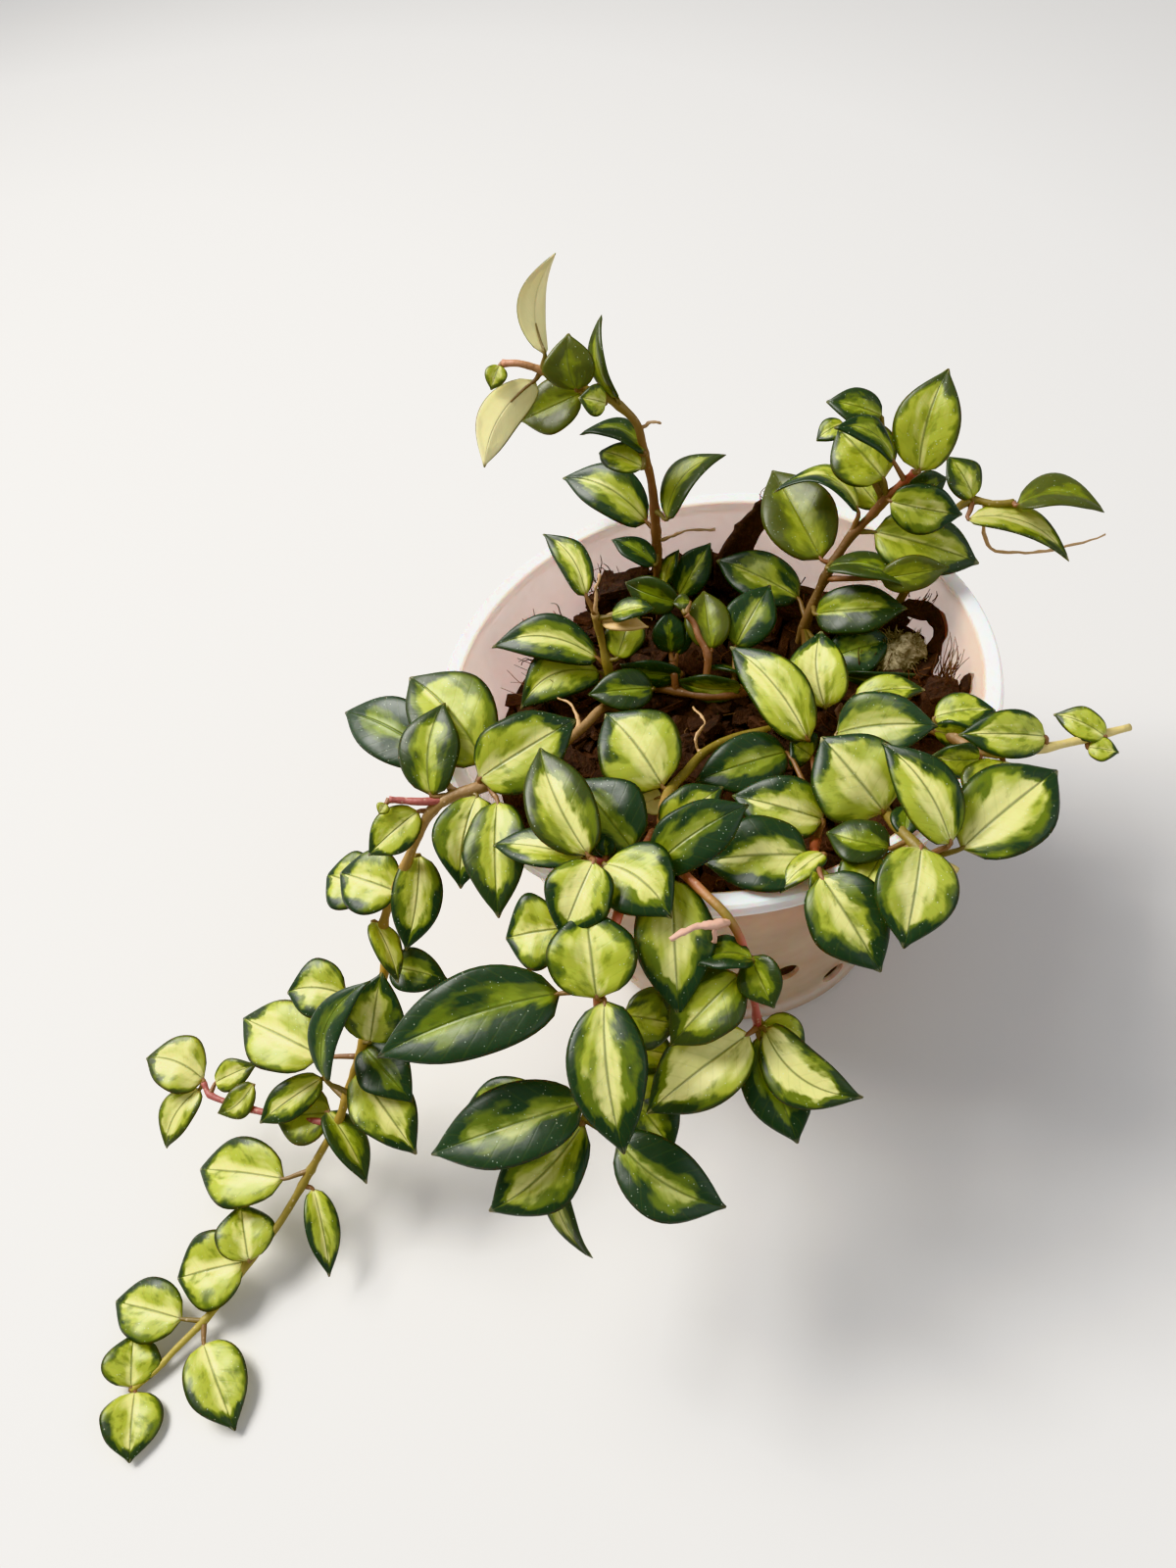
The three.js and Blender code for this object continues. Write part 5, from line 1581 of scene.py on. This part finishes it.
# %% Dry moss
MOSS_DARK = (0.12, 0.085, 0.03, 1)
MOSS_PALE = (0.8, 0.68, 0.42, 1)
MOSS_HAIRS = [(0.7, 0.6, 0.38)]
MOSS_CONTRAST = 2.6
MOSS_SHARE = 0.45
MOSS_SIZE = Vector((3.8, 4.4, 6.4)) * MM
MOSS_LUMPS = 260
LUMP_DEPTH = 1.8 * MM
MOSS_CRUMBS = 900
CRUMB_DEPTH = 0.6 * MM
MOSS_TUFTS = 70
TUFT_DEPTH = 0.9
TUFT_REACH = 1.5

moss_skin, tree, shader = new_material("dry_moss", 0.95)
tufts = noise(tree, object_place(tree), scale=900.0, detail=5.0, rough=0.8)
dry_share = line(
    tree, maths(tree, "SUBTRACT", tufts, 0.5), MOSS_CONTRAST, MOSS_SHARE, clamp=True
)
moss_colour = blend_colour(tree, dry_share, MOSS_DARK, MOSS_PALE)
tree.links.new(moss_colour, shader.inputs["Base Color"])
add_bump(tree, shader, tufts, strength=1.0, distance=0.001)

bench = husk_bench()
ball = bmesh.ops.create_icosphere(bench, subdivisions=4, radius=1)["verts"]
moss_foot, moss_top = sight(892, 676, 72), sight(940, 658, 74)
moss_middle = (moss_foot + moss_top) / 2
moss_turn = UP.rotation_difference(moss_top - moss_foot)
for vert in ball:
    vert.co = moss_middle + moss_turn @ (vert.co * MOSS_SIZE)
    lumps = noise_vector(vert.co * MOSS_LUMPS) * LUMP_DEPTH
    vert.co += lumps + noise_vector(vert.co * MOSS_CRUMBS) * CRUMB_DEPTH
for _ in range(MOSS_TUFTS):
    around = shaken(chance, 1).normalized()
    hair_root = moss_middle + moss_turn @ (around * MOSS_SIZE * TUFT_DEPTH)
    hair_reach = moss_turn @ around * TUFT_REACH
    add_tuft(bench, hair_root, 0.6, hair_reach, 7, MOSS_HAIRS, chance)
for face in bench.faces:
    face.smooth = True
husk_piece("moss_lump_tufted", bench, moss_skin, "moss_lump")

# %% [markdown]
# ## Floor and light
#
# A plain pale floor and soft studio light: a large lamp high on the left, a weaker one on the
# right to open the shadows, and a pale surround that the waxy leaves can mirror.

# %% Floor
FLOOR_HALF = 3
FLOOR_COLOUR = (0.66, 0.65, 0.635, 1)

bench = bmesh.new()
bmesh.ops.create_grid(bench, x_segments=1, y_segments=1, size=FLOOR_HALF)
floor = put_down("floor", bench)
floor_skin, tree, shader = new_material("pale_floor", 0.7)
shader.inputs["Base Color"].default_value = FLOOR_COLOUR
floor.data.materials.append(floor_skin)
print("floor in metres:", 2 * FLOOR_HALF)

# %% Lamps
SURROUND_COLOUR = (0.93, 0.95, 1, 1)
SURROUND_STRENGTH = 0.44


def add_lamp(name, place, aim, size, power, colour):
    lamp_data = bpy.data.lights.new(name, "AREA")
    lamp_data.size = size
    lamp_data.energy = power
    lamp_data.color = colour
    lamp = bpy.data.objects.new(name, lamp_data)
    lamp.location = place
    lamp.rotation_euler = (Vector(aim) - Vector(place)).to_track_quat("-Z", "Y").to_euler()
    bpy.context.collection.objects.link(lamp)


add_lamp("key_lamp", (-0.45, 0.3, 0.8), (0, 0, 0.06), 0.5, 13, (1, 0.98, 0.94))
add_lamp("fill_lamp", (0.7, -0.5, 0.6), (0, 0, 0.05), 0.9, 3, (0.95, 0.97, 1))
bpy.context.scene.view_settings.view_transform = "Khronos PBR Neutral"
world = bpy.data.worlds.new("pale_surround")
world.use_nodes = True
surround = world.node_tree.nodes["Background"]
surround.inputs["Color"].default_value = SURROUND_COLOUR
surround.inputs["Strength"].default_value = SURROUND_STRENGTH
bpy.context.scene.world = world
